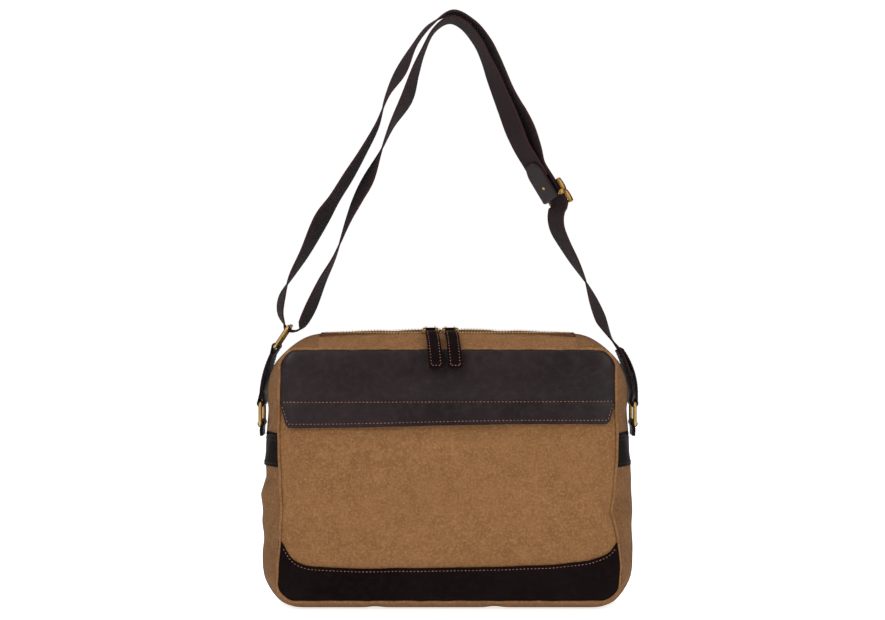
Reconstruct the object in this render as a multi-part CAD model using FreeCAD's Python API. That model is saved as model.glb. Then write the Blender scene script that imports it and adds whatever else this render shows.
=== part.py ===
# Canvas messenger bag with leather trim, an adjustable webbing shoulder strap and metal hardware.
#
# Frame: millimetres, +Z up, +X to the wearer's left as seen from the front, the front panel faces -Y.
# The origin is the middle of the flat base. The strap stands up over the bag, as when it is hung up.
#
# Bodies: the bag itself; the two halves of the zipped top; two zip sliders with their leather pulls;
# the flap over the front pocket with the pocket's slider and tab under it; the strap; and its adjuster.

import FreeCAD
import Part
import math
import os

V = FreeCAD.Vector

# ---- driving dimensions -------------------------------------------------------------------------
HALF_WIDTH = 187.0        # gusset at its widest, half of 374
HEIGHT = 283.0            # crown of the zipped top
SEAM_HALF_WIDTH = 173.0   # front and back panels, half
SEAM_Y = 46.0             # the panels' seams, each side of the middle
SEAM_TOP = 265.0
SEAM_BOTTOM = 9.0
SEAM_CORNER = 20.0        # corner radius of the panels
BASE_SAG = 5.0            # how far the base would bulge if the ground did not flatten it
TOP_CORNER = 62.0         # corner radii of the widest outline
BOTTOM_CORNER = 36.0
CROWN = 4.0               # rise of the top edge in the middle

CANVAS = 2.2              # canvas with its backing
PANEL = 3.0               # front and back panels, two layers
LEATHER = 2.0
LINING = 0.8
GAP = 0.3                 # between separate soft pieces

ZIP_Y = -12.0             # the main zip lies forward of the middle
ZIP_SLOT = 7.0            # half of the gap between the canvas edges
ZIP_HALF_LENGTH = 131.0
ZIP_TILT = 10.0           # degrees, it follows the crowned top
ZIP_HEIGHT = 279.8

FLAP_HINGE_Z = 211.3      # stitch line that the pocket flap hangs from
FLAP_DROP = 24.0
POCKET_ZIP_Z = 201.0
POCKET_HALF_LENGTH = 140.0

STRAP_WIDTH = 37.0
STRAP_THICK = 1.8
RING_WIRE = 2.0           # radius
RING_HALF = 22.2          # half of a ring's width, wire centres
LOWER_RING_PITCH = 21.0   # between the ring's two bars
LOWER_RING_X = 191.5
LOWER_RING_Z = 187.0      # lower bar
LOOP_PLY = 1.8            # leather loops and straps, one ply
PIVOT_Z = 180.0           # the strap swings about this height
PATCH_TOP = 180.0
PATCH_BOTTOM = 145.0
TAB_SWEEP = 19.7          # room in the patch for the tab's loop as the strap swings

ADJUSTER = V(107.6, 0, 419.6)    # centre bar of the adjuster
ADJUSTER_SLOPE = 31.0            # its run leans this much from the vertical, in degrees
ADJUSTER_ROLL = 23.0             # it is turned this much towards the front
SLIDE_UP = 20.0                  # straight strap kept free for the adjuster's travel
SLEEVE = 41.0                    # leather sleeve on the adjuster
BUCKLE_HALF = 12.2               # from the centre bar to each outer bar


# ---- helpers ------------------------------------------------------------------------------------
def box(x0, x1, y0, y1, z0, z1):
    return Part.makeBox(x1 - x0, y1 - y0, z1 - z0, V(x0, y0, z0))


def rod(a, b, radius):
    return Part.makeCylinder(radius, (b - a).Length, a, b - a)


def bar_y(x, z, radius, half):
    return rod(V(x, -half, z), V(x, half, z), radius)


def line(a, b):
    return Part.LineSegment(a, b).toShape()


def arc(a, mid, b):
    return Part.Arc(a, mid, b).toShape()


def solid_from(edges, direction):
    return Part.Face(Part.Wire(Part.__sortEdges__(edges))).extrude(direction)


def polygon(points, direction):
    return Part.Face(Part.makePolygon(points + [points[0]])).extrude(direction)


def corner_arc(cx, cz, radius, from_deg, to_deg, y):
    def at(angle):
        a = math.radians(angle)
        return V(cx + radius * math.cos(a), y, cz + radius * math.sin(a))

    return arc(at(from_deg), at((from_deg + to_deg) / 2), at(to_deg))


def rounded_ring(half_a, half_b, corner, radius):
    """A closed wire ring in the XY plane: X half length, Y half length, corner radius, wire radius."""
    a, b, c = half_a, half_b, corner
    s = c * math.sqrt(0.5)
    path = [
        line(V(-a + c, -b, 0), V(a - c, -b, 0)),
        arc(V(a - c, -b, 0), V(a - c + s, -b + c - s, 0), V(a, -b + c, 0)),
        line(V(a, -b + c, 0), V(a, b - c, 0)),
        arc(V(a, b - c, 0), V(a - c + s, b - c + s, 0), V(a - c, b, 0)),
        line(V(a - c, b, 0), V(-a + c, b, 0)),
        arc(V(-a + c, b, 0), V(-a + c - s, b - c + s, 0), V(-a, b - c, 0)),
        line(V(-a, b - c, 0), V(-a, -b + c, 0)),
        arc(V(-a, -b + c, 0), V(-a + c - s, -b + c - s, 0), V(-a + c, -b, 0)),
    ]
    section = Part.Wire([Part.makeCircle(radius, V(0, -b, 0), V(1, 0, 0))])
    return Part.Wire(path).makePipeShell([section], True, True)


def placed(shape, origin, x_axis, y_axis, z_axis):
    """Moves a shape from its own axes to the given ones."""
    m = FreeCAD.Matrix(
        x_axis.x, y_axis.x, z_axis.x, origin.x,
        x_axis.y, y_axis.y, z_axis.y, origin.y,
        x_axis.z, y_axis.z, z_axis.z, origin.z,
        0, 0, 0, 1,
    )
    moved = shape.copy()
    moved.Placement = FreeCAD.Placement(m).multiply(moved.Placement)
    return moved


def mirrored(shape):
    return shape.mirror(V(0, 0, 0), V(1, 0, 0))


def circle_through(a, mid, b):
    """Centre and radius of the circle through three points of the XZ plane."""
    circle = arc(a, mid, b).Curve
    return circle.Center, circle.Radius


def band(a, mid, b, inner, outer, half):
    """A curved strip, 2 * half wide along Y. Its section follows the arc through three points of the XZ
    plane, from `inner` to `outer` millimetres off it, counted away from the arc's centre."""
    centre, radius = circle_through(a, mid, b)

    def off(p, d):
        ray = (p - centre).normalize()
        return V(centre.x, 0, centre.z) + ray * (radius + d) - V(0, half, 0)

    edges = [
        arc(off(a, inner), off(mid, inner), off(b, inner)),
        line(off(b, inner), off(b, outer)),
        arc(off(b, outer), off(mid, outer), off(a, outer)),
        line(off(a, outer), off(a, inner)),
    ]
    return solid_from(edges, V(0, 2 * half, 0))


# ---- the bag's outer form -----------------------------------------------------------------------
def outline(y, half, low, top, crown, top_corner, low_corner):
    """The rounded front outline in the plane at y, as a wire. The top edge rises by `crown` in the middle."""
    tx, tz = half - top_corner, top - top_corner
    bx, bz = half - low_corner, low + low_corner
    edges = [
        arc(V(-tx, y, top), V(0, y, top + crown), V(tx, y, top)),
        corner_arc(tx, tz, top_corner, 90, 0, y),
        line(V(half, y, tz), V(half, y, bz)),
        corner_arc(bx, bz, low_corner, 0, -90, y),
        line(V(bx, y, low), V(-bx, y, low)),
        corner_arc(-bx, bz, low_corner, -90, -180, y),
        line(V(-half, y, bz), V(-half, y, tz)),
        corner_arc(-tx, tz, top_corner, 180, 90, y),
    ]
    return Part.Wire(edges)


def seam_outline(y, off):
    half, low, top, corner = SEAM_HALF_WIDTH - off, SEAM_BOTTOM + off, SEAM_TOP - off, SEAM_CORNER - off
    return outline(y, half, low, top, 0.5, corner, corner)


def pillow(off, reach=0.0):
    """The bag's bulged form, moved in by off. reach is how far it runs on past the seams, straight."""
    middle = outline(
        0, HALF_WIDTH - off, off - BASE_SAG, HEIGHT - CROWN - off, CROWN, TOP_CORNER - off, BOTTOM_CORNER - off
    )
    body = Part.makeLoft([seam_outline(-SEAM_Y, off), middle, seam_outline(SEAM_Y, off)], True, False)
    if reach:
        for side in (-1, 1):
            end = Part.Face(seam_outline(side * SEAM_Y, off))
            body = body.fuse(end.extrude(V(0, side * reach, 0)))
    return body.common(box(-300, 300, -100, 100, off, HEIGHT + 50))


def panel_plate(y0, y1):
    """A flat panel within the seams."""
    return Part.Face(seam_outline(y0, GAP)).extrude(V(0, y1 - y0, 0))


def shell():
    """The canvas that runs all round between the two panels."""
    return pillow(0).cut(pillow(CANVAS, 5.0))


LID_CUT = box(-ZIP_HALF_LENGTH, ZIP_HALF_LENGTH, -SEAM_Y - 1, SEAM_Y + 1, SEAM_TOP - 8, HEIGHT + 5)


def gusset():
    return shell().cut(LID_CUT)


def top_half(y0, y1):
    half = ZIP_HALF_LENGTH - GAP
    return shell().common(box(-half, half, y0, y1, SEAM_TOP - 2.8, HEIGHT + 5))


def front_panel():
    """Canvas front with the slot of the pocket's zip."""
    plate = panel_plate(-SEAM_Y - PANEL, -SEAM_Y)
    slot = box(
        -POCKET_HALF_LENGTH, POCKET_HALF_LENGTH, -SEAM_Y - PANEL - 1, -SEAM_Y + 1,
        POCKET_ZIP_Z - ZIP_SLOT, POCKET_ZIP_Z + ZIP_SLOT,
    )
    return plate.cut(slot)


def back_panel():
    return panel_plate(SEAM_Y, SEAM_Y + PANEL)


# ---- leather on the front -----------------------------------------------------------------------
PANEL_FACE = -SEAM_Y - PANEL        # outer face of the front panel
LEATHER_FACE = PANEL_FACE - LEATHER


def front_yoke():
    """Leather across the top of the front, down to the flap's stitch line."""
    s, c, y = SEAM_HALF_WIDTH - 1, SEAM_CORNER, LEATHER_FACE
    low, top = FLAP_HINGE_Z, SEAM_TOP - GAP
    edges = [
        line(V(-s, y, low), V(-s, y, top - c)),
        corner_arc(-s + c, top - c, c, 180, 90, y),
        line(V(-s + c, y, top), V(s - c, y, top)),
        corner_arc(s - c, top - c, c, 90, 0, y),
        line(V(s, y, top - c), V(s, y, low)),
        line(V(s, y, low), V(-s, y, low)),
    ]
    return solid_from(edges, V(0, LEATHER, 0))


def base_trim():
    """Leather along the foot of the front. Its upper edge sweeps up at both ends."""
    s, c, y, low = SEAM_HALF_WIDTH, SEAM_CORNER, LEATHER_FACE, SEAM_BOTTOM
    sweep_x, sweep_z, end_z, mid_z = 146.0, 48.5, 73.0, 44.5
    edges = [line(V(-s + c, y, low), V(s - c, y, low))]
    for side, start, stop in ((1, -90, 0), (-1, 270, 180)):
        edges.append(corner_arc(side * (s - c), low + c, c, start, stop, y))
        edges.append(line(V(side * s, y, low + c), V(side * s, y, end_z)))
        edges.append(arc(V(side * s, y, end_z), V(side * (s - 9), y, 55.0), V(side * sweep_x, y, sweep_z)))
    edges.append(arc(V(-sweep_x, y, sweep_z), V(0, y, mid_z), V(sweep_x, y, sweep_z)))
    return solid_from(edges, V(0, LEATHER, 0))


FLAP_BACK = LEATHER_FACE - 2.3      # the flap stands off the panel, over the pocket's zip


def pocket_flap():
    top, low = FLAP_HINGE_Z + 1.5, FLAP_HINGE_Z - FLAP_DROP
    s, tuck = SEAM_HALF_WIDTH - 1, 7.0
    outline = [
        V(-s, FLAP_BACK, top), V(s, FLAP_BACK, top),
        V(s - 1, FLAP_BACK, top - 6), V(s - tuck, FLAP_BACK, low),
        V(-s + tuck, FLAP_BACK, low), V(-s + 1, FLAP_BACK, top - 6),
    ]
    return polygon(outline, V(0, -LEATHER, 0))


# ---- sides --------------------------------------------------------------------------------------
def side_patch():
    """Leather band sewn across the right gusset, where the strap's tab is anchored."""
    skin = pillow(-GAP - LEATHER).cut(pillow(-GAP, 5.0))
    band_part = skin.common(box(100, HALF_WIDTH + 10, -SEAM_Y, SEAM_Y, PATCH_BOTTOM, PATCH_TOP))
    return band_part.cut(rod(V(100, 0, PIVOT_Z), V(HALF_WIDTH + 10, 0, PIVOT_Z), TAB_SWEEP))


# ---- inside -------------------------------------------------------------------------------------
LINING_FRONT = -35.6
BOARD_TOP = 5.4


def lining():
    """Open-topped lining tub, clear of the front pocket's pouch and of the base board."""
    outer = pillow(CANVAS + GAP).common(
        box(-300, 300, LINING_FRONT, SEAM_Y - GAP, BOARD_TOP + GAP, SEAM_TOP - 8.5)
    )
    inner = pillow(CANVAS + GAP + LINING).common(
        box(-300, 300, LINING_FRONT + LINING, SEAM_Y - GAP - LINING, BOARD_TOP + GAP + LINING, SEAM_TOP + 30)
    )
    return outer.cut(inner)


def base_board():
    return box(-138, 138, -28, 28, CANVAS + 0.2, BOARD_TOP)


INNER_POCKET = (-115.0, 115.0, 60.0, 205.0)     # low x, high x, low z, high z
INNER_POCKET_DEPTH = 6.5


def inner_pocket():
    """Open-topped slip pocket sewn to the back of the lining."""
    x0, x1, z0, z1 = INNER_POCKET
    back = SEAM_Y - GAP - LINING
    front = back - INNER_POCKET_DEPTH
    return box(x0, x1, front, back, z0, z1).cut(
        box(x0 + LINING, x1 - LINING, front + LINING, back + 1, z0 + LINING, z1 + 1)
    )


POUCH_HALF = 148.0
POUCH_BACK = -36.0
POUCH_LOW = 60.0


def pocket_pouch():
    """The front pocket's bag, closed at the front by the front panel."""
    wall, front, top = 0.6, -SEAM_Y + GAP, POCKET_ZIP_Z + 14
    whole = box(-POUCH_HALF, POUCH_HALF, front, POUCH_BACK, POUCH_LOW, top)
    hollow = box(
        -POUCH_HALF + wall, POUCH_HALF - wall, front - 1, POUCH_BACK - wall, POUCH_LOW + wall, top - wall
    )
    return whole.cut(hollow)


# ---- zips: X along the zip, Y across it, Z out of it --------------------------------------------
CHAIN_IN = 0.75      # teeth, from the zip's middle
CHAIN_OUT = 2.6
CHAIN_HALF = 1.3
TOOTH_PITCH = 3.0
TOOTH = 1.9


def zip_tape(half_length, far):
    return box(-half_length, half_length, CHAIN_OUT, far, -0.4, 0.4)


def zip_chain(half_length):
    """One row of teeth as one comb, on the +Y side of the zip's middle."""
    count = int((2 * half_length - TOOTH) // TOOTH_PITCH)
    start = -count * TOOTH_PITCH / 2
    spine = CHAIN_OUT - 0.7
    points = [V(-half_length, CHAIN_OUT, -CHAIN_HALF)]
    for k in range(count + 1):
        x = start + k * TOOTH_PITCH
        points += [
            V(x - TOOTH / 2, spine, -CHAIN_HALF), V(x - TOOTH / 2, CHAIN_IN, -CHAIN_HALF),
            V(x + TOOTH / 2, CHAIN_IN, -CHAIN_HALF), V(x + TOOTH / 2, spine, -CHAIN_HALF),
        ]
    points.append(V(half_length, CHAIN_OUT, -CHAIN_HALF))
    return polygon(points, V(0, 0, 2 * CHAIN_HALF))


def other_side(shape):
    return shape.mirror(V(0, 0, 0), V(0, 1, 0))


SLIDER_HALF = 9.0
PLATE_LOW = 1.7
PLATE_TOP = 2.9
LUG_X = 4.6
PIN_Z = 5.2          # height of the pull's pin over the zip
PIN = 0.9            # radius
BAIL_HALF = 7.3
BAIL_REACH = 8.5


def slider(nose):
    """Slider with two lugs for the pull's pin. nose is +1 or -1, the way its wide end points."""
    outline = [(-9, -3.6), (-6, -5), (2, -6), (7, -6), (9, -4), (9, 4), (7, 6), (2, 6), (-6, 5), (-9, 3.6)]
    body = None
    for low in (PLATE_LOW, -PLATE_TOP):
        plate = polygon([V(nose * x, y, low) for x, y in outline], V(0, 0, PLATE_TOP - PLATE_LOW))
        body = plate if body is None else body.fuse(plate)
    post = sorted((nose * 3.0, nose * 8.0))
    body = body.fuse(box(post[0], post[1], -0.4, 0.4, -PLATE_LOW - 0.2, PLATE_LOW + 0.2))
    for side in (-1, 1):
        x = side * LUG_X
        body = body.fuse(box(x - 1, x + 1, -2, 2, PLATE_LOW + 0.2, PIN_Z))
        body = body.fuse(rod(V(x - 1, 0, PIN_Z), V(x + 1, 0, PIN_Z), 2.0))
    pin_hole = rod(V(-12, 0, PIN_Z), V(12, 0, PIN_Z), PIN + 0.08)
    return body.cut(pin_hole).removeSplitter()


def bail():
    """Wire bail: its inner bar turns in the slider's lugs, its outer bar carries the leather."""
    y_mid = -BAIL_REACH / 2
    ring = rounded_ring(BAIL_HALF, BAIL_REACH / 2, 1.5, PIN)
    ring.translate(V(0, y_mid, PIN_Z))
    return ring


# ---- placing the main zip -----------------------------------------------------------------------
TILT = math.radians(ZIP_TILT)
ZIP_ACROSS = V(0, math.cos(TILT), math.sin(TILT))
ZIP_OUT = V(0, -math.sin(TILT), math.cos(TILT))


def on_main_zip(shape, x=0.0):
    return placed(shape, V(x, ZIP_Y, ZIP_HEIGHT), V(1, 0, 0), ZIP_ACROSS, ZIP_OUT)


def on_pocket_zip(shape, x=0.0):
    """The pocket's zip faces the front."""
    return placed(shape, V(x, POCKET_ZIP_DEPTH, POCKET_ZIP_Z), V(1, 0, 0), V(0, 0, 1), V(0, -1, 0))


POCKET_ZIP_DEPTH = -SEAM_Y - 0.6
TAB_PIN_X = 1.2      # pin of the pocket slider's tab, from the slider's middle
TAB_PIN_Z = 3.7
SLIDER_X = (-17.5, 2.5)
PULL_WIDTH = 16.5
PULL_THICK = 3.0


def leather_pull(x):
    """Two plies of leather folded round the bail's outer bar. It droops over the bag's front edge."""
    bar = V(0, ZIP_Y, ZIP_HEIGHT) + ZIP_ACROSS * -BAIL_REACH + ZIP_OUT * PIN_Z
    start, mid, end = V(0, -25.5, 281.8), V(0, -50.5, 276.0), V(0, -61.5, 248.0)

    def turned(p):
        return V(p.y, 0, p.z)

    strip = band(turned(start), turned(mid), turned(end), -PULL_THICK / 2, PULL_THICK / 2, PULL_WIDTH / 2)
    neck_half = 5.2
    fold = rod(V(bar.y, -neck_half, bar.z), V(bar.y, neck_half, bar.z), PIN + 1.6)
    run = (turned(start) - V(bar.y, 0, bar.z))
    side = V(-run.z, 0, run.x).normalize() * (PULL_THICK / 2)
    low = V(0, -neck_half, 0)
    centre = V(bar.y, 0, bar.z)
    neck = polygon(
        [centre + side + low, turned(start) + side + low, turned(start) - side + low, centre - side + low],
        V(0, 2 * neck_half, 0),
    )
    pull = strip.fuse(neck).fuse(fold).cut(rod(V(bar.y, -20, bar.z), V(bar.y, 20, bar.z), PIN + 0.1))
    # The strip was drawn with the bag's Y as its own X; turn it back.
    return placed(pull, V(x, 0, 0), V(0, 1, 0), V(-1, 0, 0), V(0, 0, 1))


def pocket_tab():
    """Small metal pull tab of the pocket's slider. It lies flat along the zip, under the flap."""
    plate = box(TAB_PIN_X, 20.0, -2.5, 2.5, TAB_PIN_Z - 0.4, TAB_PIN_Z + 0.4)
    slot = box(4.4, 7.4, -1.4, 1.4, TAB_PIN_Z - 1, TAB_PIN_Z + 1)
    pin = rod(V(TAB_PIN_X, -4.0, TAB_PIN_Z), V(TAB_PIN_X, 4.0, TAB_PIN_Z), 0.5)
    return plate.fuse(pin).cut(slot).removeSplitter()


def pocket_slider():
    """Flat slider of the pocket's zip, with two ears that hold the tab's pin."""
    body = None
    for low, thick in ((PLATE_LOW, 0.9), (-PLATE_LOW - 0.9, 0.9)):
        plate = box(-6, 6, -4.2, 4.2, low, low + thick)
        body = plate if body is None else body.fuse(plate)
    body = body.fuse(box(-5, -1, -0.4, 0.4, -PLATE_LOW - 0.2, PLATE_LOW + 0.2))
    for y0, y1 in ((-4.0, -2.9), (2.9, 4.0)):
        body = body.fuse(box(TAB_PIN_X - 1.3, TAB_PIN_X + 1.3, y0, y1, PLATE_LOW + 0.4, TAB_PIN_Z + 1.3))
    return body.cut(rod(V(TAB_PIN_X, -9, TAB_PIN_Z), V(TAB_PIN_X, 9, TAB_PIN_Z), 0.58)).removeSplitter()


# ---- strap hardware, drawn for the right side ---------------------------------------------------
def along_run(run, share):
    """The point this share of the way along the arc through three points, 0.5 being the middle one."""
    centre, radius = circle_through(*run)
    rays = [p - centre for p in run]
    angles = [math.atan2(ray.z, ray.x) for ray in rays]
    angle = angles[0] + (angles[2] - angles[0]) * share
    return V(centre.x + radius * math.cos(angle), 0, centre.z + radius * math.sin(angle))


def lobe(x, z, half):
    """A leather fold round a ring's bar."""
    hole = RING_WIRE + GAP
    return bar_y(x, z, hole + LOOP_PLY, half).cut(bar_y(x, z, hole, half + 1))


def open_bar(shape, x, z):
    return shape.cut(bar_y(x, z, RING_WIRE + GAP, STRAP_WIDTH))


def lower_ring():
    ring = rounded_ring(RING_HALF, LOWER_RING_PITCH / 2, 3.2, RING_WIRE)
    centre = V(LOWER_RING_X, 0, LOWER_RING_Z + LOWER_RING_PITCH / 2)
    return placed(ring, centre, V(0, 1, 0), V(0, 0, 1), V(1, 0, 0))


TAB_HALF = 16.0
TAB_INNER = HALF_WIDTH + GAP + LEATHER + 0.4


def strap_tab():
    """Leather tab: sewn flat on the patch, folded round the lower ring's bar."""
    plate = box(TAB_INNER, TAB_INNER + 2 * LOOP_PLY, -TAB_HALF, TAB_HALF, PIVOT_Z - 6, LOWER_RING_Z)
    tab = plate.fuse(bar_y(LOWER_RING_X, LOWER_RING_Z, RING_WIRE + GAP + LOOP_PLY, TAB_HALF))
    return open_bar(tab, LOWER_RING_X, LOWER_RING_Z).removeSplitter()


RUN_START = V(LOWER_RING_X, 0, LOWER_RING_Z + LOWER_RING_PITCH)
RIGHT_RUN = (RUN_START, V(188.3, 0, 236), V(177.0, 0, 263))
LEFT_RUN = (RUN_START, V(186.6, 0, 237), V(176.4, 0, 266.2))
UPPER_BAR = V(-163.0, 0, 286.4)      # the webbing goes round this bar of the upper ring
STRAP_LEATHER_HALF = 18.5


def strap_end_right():
    """Leather end: folded round the ring, with the webbing's end held between its two plies."""
    a, mid, b = RIGHT_RUN
    half = LOOP_PLY + STRAP_THICK / 2 + 0.45
    strip = band(a, mid, b, -half, half, STRAP_LEATHER_HALF)
    inside = [along_run(RIGHT_RUN, share) for share in (0.45, 0.75, 1.05)]
    pocket = band(*inside, -half + LOOP_PLY, half - LOOP_PLY, 40)
    body = strip.fuse(bar_y(a.x, a.z, RING_WIRE + GAP + LOOP_PLY, STRAP_LEATHER_HALF))
    return open_bar(body, a.x, a.z).cut(pocket)


def strap_end_left():
    """Leather link between the lower and the upper ring."""
    a, mid, b = LEFT_RUN
    half = LOOP_PLY
    body = band(a, mid, b, -half, half, STRAP_LEATHER_HALF)
    for p in (a, b):
        body = body.fuse(bar_y(p.x, p.z, RING_WIRE + GAP + LOOP_PLY, STRAP_LEATHER_HALF))
    for p in (a, b):
        body = open_bar(body, p.x, p.z)
    return mirrored(body)


def upper_ring():
    low = V(-LEFT_RUN[2].x, 0, LEFT_RUN[2].z)
    up = (UPPER_BAR - low)
    ring = rounded_ring(RING_HALF, up.Length / 2, 3.2, RING_WIRE)
    along = V(up).normalize()
    return placed(ring, (low + UPPER_BAR) * 0.5, V(0, 1, 0), along, V(0, 1, 0).cross(along))


# ---- the adjuster: X along its width, Y up the strap, Z out of the strap ------------------------
LEAN = math.radians(ADJUSTER_SLOPE)
ROLL = math.radians(ADJUSTER_ROLL)
RUN_UP = V(-math.sin(LEAN), 0, math.cos(LEAN))
FLAT_OUT = V(math.cos(LEAN), 0, math.sin(LEAN))
ADJ_OUT = FLAT_OUT * math.cos(ROLL) + V(0, math.sin(ROLL), 0)
ADJ_WIDE = RUN_UP.cross(ADJ_OUT)
BAR_BELOW = 4.4      # the centre bar lies this far inside the outer strand
OUTER_BAR = 3.1


def on_adjuster(shape):
    origin = ADJUSTER + ADJ_OUT * BAR_BELOW
    return placed(shape, origin, ADJ_WIDE, RUN_UP, ADJ_OUT)


def adjuster_buckle():
    """Slide buckle. Its outer bars cross over the outer strand, its centre bar lies under it."""
    thin, cheek_in, cheek_out = 1.1, 20.1, 22.9
    body = None
    for y in (-BUCKLE_HALF, BUCKLE_HALF):
        outer = rod(V(-cheek_out + 1, y, OUTER_BAR), V(cheek_out - 1, y, OUTER_BAR), 1.8)
        body = outer if body is None else body.fuse(outer)
    body = body.fuse(rod(V(-cheek_in - 1, 0, -BAR_BELOW), V(cheek_in + 1, 0, -BAR_BELOW), thin))
    for side in (-1, 1):
        x0 = cheek_in if side > 0 else -cheek_out
        thick = V(cheek_out - cheek_in, 0, 0)
        for y in (-BUCKLE_HALF, BUCKLE_HALF):
            along = V(0, y, OUTER_BAR + BAR_BELOW)
            wide = V(1, 0, 0).cross(along).normalize() * 1.9
            a, b = V(x0, 0, -BAR_BELOW), V(x0, y, OUTER_BAR)
            body = body.fuse(polygon([a + wide, b + wide, b - wide, a - wide], thick))
            body = body.fuse(Part.makeCylinder(1.9, thick.x, b, thick))
        body = body.fuse(Part.makeCylinder(1.9, thick.x, V(x0, 0, -BAR_BELOW), thick))
    return body.removeSplitter()


RIVET_Y = 12.5
RIVET_SHANK = 1.2
SLEEVE_PLY, SLEEVE_SLOT, SLEEVE_HALF = 1.5, 1.4, 18.8
FOLD_TOP = 3.0      # the fold round the centre bar ends here, and the two flat plies go on


def adjuster_fold():
    """Leather folded round the centre bar."""
    half, middle, out = SLEEVE_HALF, -BAR_BELOW, SLEEVE_SLOT + SLEEVE_PLY
    outer = box(-half, half, 0, FOLD_TOP, middle - out, middle + out)
    outer = outer.fuse(rod(V(-half, 0, middle), V(half, 0, middle), out))
    inner = box(-half - 1, half + 1, 0, FOLD_TOP + 1, middle - SLEEVE_SLOT, middle + SLEEVE_SLOT)
    inner = inner.fuse(rod(V(-half - 1, 0, middle), V(half + 1, 0, middle), SLEEVE_SLOT))
    return outer.cut(inner).removeSplitter()


def adjuster_ply(low):
    """One flat ply of the sleeve, with its lower face at `low`. The strap's end runs between the two plies."""
    half = SLEEVE_HALF
    tip = Part.makeCylinder(30, SLEEVE_PLY, V(0, SLEEVE - 30, low))
    tip = tip.fuse(box(-30, 30, -10, SLEEVE - 20, low, low + SLEEVE_PLY))
    return box(-half, half, FOLD_TOP, SLEEVE, low, low + SLEEVE_PLY).common(tip).removeSplitter()


def adjuster_ply_outer():
    return adjuster_ply(-BAR_BELOW + SLEEVE_SLOT)


def adjuster_ply_inner():
    low = -BAR_BELOW - SLEEVE_SLOT - SLEEVE_PLY
    return adjuster_ply(low).cut(rod(V(0, RIVET_Y, low - 1), V(0, RIVET_Y, low + 3), RIVET_SHANK))


def adjuster_rivet():
    """Brass rivet through the sleeve's inner ply."""
    face = -BAR_BELOW - SLEEVE_SLOT - SLEEVE_PLY
    shank = rod(V(0, RIVET_Y, face), V(0, RIVET_Y, face + 1.4), RIVET_SHANK)
    head = Part.makeSphere(2.6, V(0, RIVET_Y, face + 1.7)).common(box(-5, 5, 5, 20, face - 3, face))
    return shank.fuse(head).removeSplitter()


# ---- webbing ------------------------------------------------------------------------------------
# Stations along the middle of the webbing: x, z, and its roll in degrees. With roll 0 the webbing's width
# lies along Y; a positive roll moves its front edge to the left of the way it runs.
OUTER_STRAND = [
    (169.6, 273.2, 4), (161.4, 288.2, 16), (157.5, 296.1, 20), (150.8, 312.6, 16), (144.1, 329.0, 6),
    (140.0, 337.5, 0), (130.8, 354.0, -9), (121.1, 371.0, -14), (113.7, 386.0, -19), (111.6, 397.6, -22),
    (112.6, 405.6, -23),
]
OVER_TOP = [
    (87.5, 469.4, -26), (81.5, 488.1, -26), (74.3, 503.2, -25), (68.0, 514.9, -22), (61.7, 530.0, -16),
    (55.5, 546.7, -13), (48.6, 562.4, -13), (40.0, 579.7, -11), (25.8, 597.5, -8), (5.1, 609.2, -2),
    (-17.2, 597.5, 9), (-34.3, 576.1, 10), (-48.4, 548.8, 20), (-62.0, 524.5, 8), (-72.5, 494.1, -2),
    (-87.5, 465.9, -7), (-102.0, 441.7, -12), (-116.5, 418.6, -13), (-130.4, 396.5, -20),
    (-146.8, 363.5, -11), (-161.2, 338.5, -2), (-170.6, 317.6, 13), (-172.8, 301.6, 13),
]
ROUND_RING = [
    (-169.0, 290.0, 6), (-166.8, 284.4, 0), (-162.8, 282.1, 0), (-157.7, 281.6, 0), (-151.2, 284.4, 0),
]
INNER_STRAND = [
    (-148.9, 290.2, 10), (-140.8, 307.1, 14), (-129.1, 334.0, 8), (-116.2, 359.5, 0), (-102.8, 395.0, -10),
    (-92.4, 418.1, -18), (-81.4, 439.2, -20), (-68.4, 468.4, -4), (-57.4, 494.1, 4), (-41.9, 521.9, 16),
    (-33.3, 548.8, 10), (-25.2, 570.1, 3), (-14.6, 590.9, 0), (1.0, 602.1, 3), (16.7, 597.0, 8),
    (31.3, 579.2, 10), (39.4, 562.4, 12), (46.4, 545.7, 18), (53.2, 528.5, 21), (60.4, 510.8, 24),
    (68.4, 490.1, 26),
]


def straight_stations(base, first, last, roll):
    """Three stations on the adjuster's straight run, from first to last millimetres up it."""
    places = [base + RUN_UP * d for d in (first, (first + last) / 2, last)]
    return [(p.x, p.z, roll, p.y) for p in places]


def webbing_stations():
    sewn_in = [along_run(RIGHT_RUN, share) for share in (0.55, 0.8, 1.0)]
    over_bars = ADJUSTER + ADJ_OUT * BAR_BELOW
    below, above = BUCKLE_HALF - 4.2, BUCKLE_HALF + 4.0 + SLIDE_UP
    stations = [(p.x, p.z, 0, 0) for p in sewn_in]
    stations += [(x, z, roll, 0) for x, z, roll in OUTER_STRAND]
    stations += straight_stations(over_bars, -below, above, -ADJUSTER_ROLL)
    stations += [(x, z, roll, 0) for x, z, roll in OVER_TOP + ROUND_RING + INNER_STRAND]
    stations += straight_stations(ADJUSTER, SLEEVE + SLIDE_UP, SLIDE_UP + 2.5, ADJUSTER_ROLL)
    return stations


def smooth(p0, p1, p2, p3, t):
    """Catmull-Rom between p1 and p2, for each number of a station."""
    return [
        0.5 * (2 * b + (c - a) * t + (2 * a - 5 * b + 4 * c - d) * t * t + (3 * b - a - 3 * c + d) * t ** 3)
        for a, b, c, d in zip(p0, p1, p2, p3)
    ]


def straight_between(p, q):
    return abs(p[2]) == ADJUSTER_ROLL and p[2] == q[2]


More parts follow.
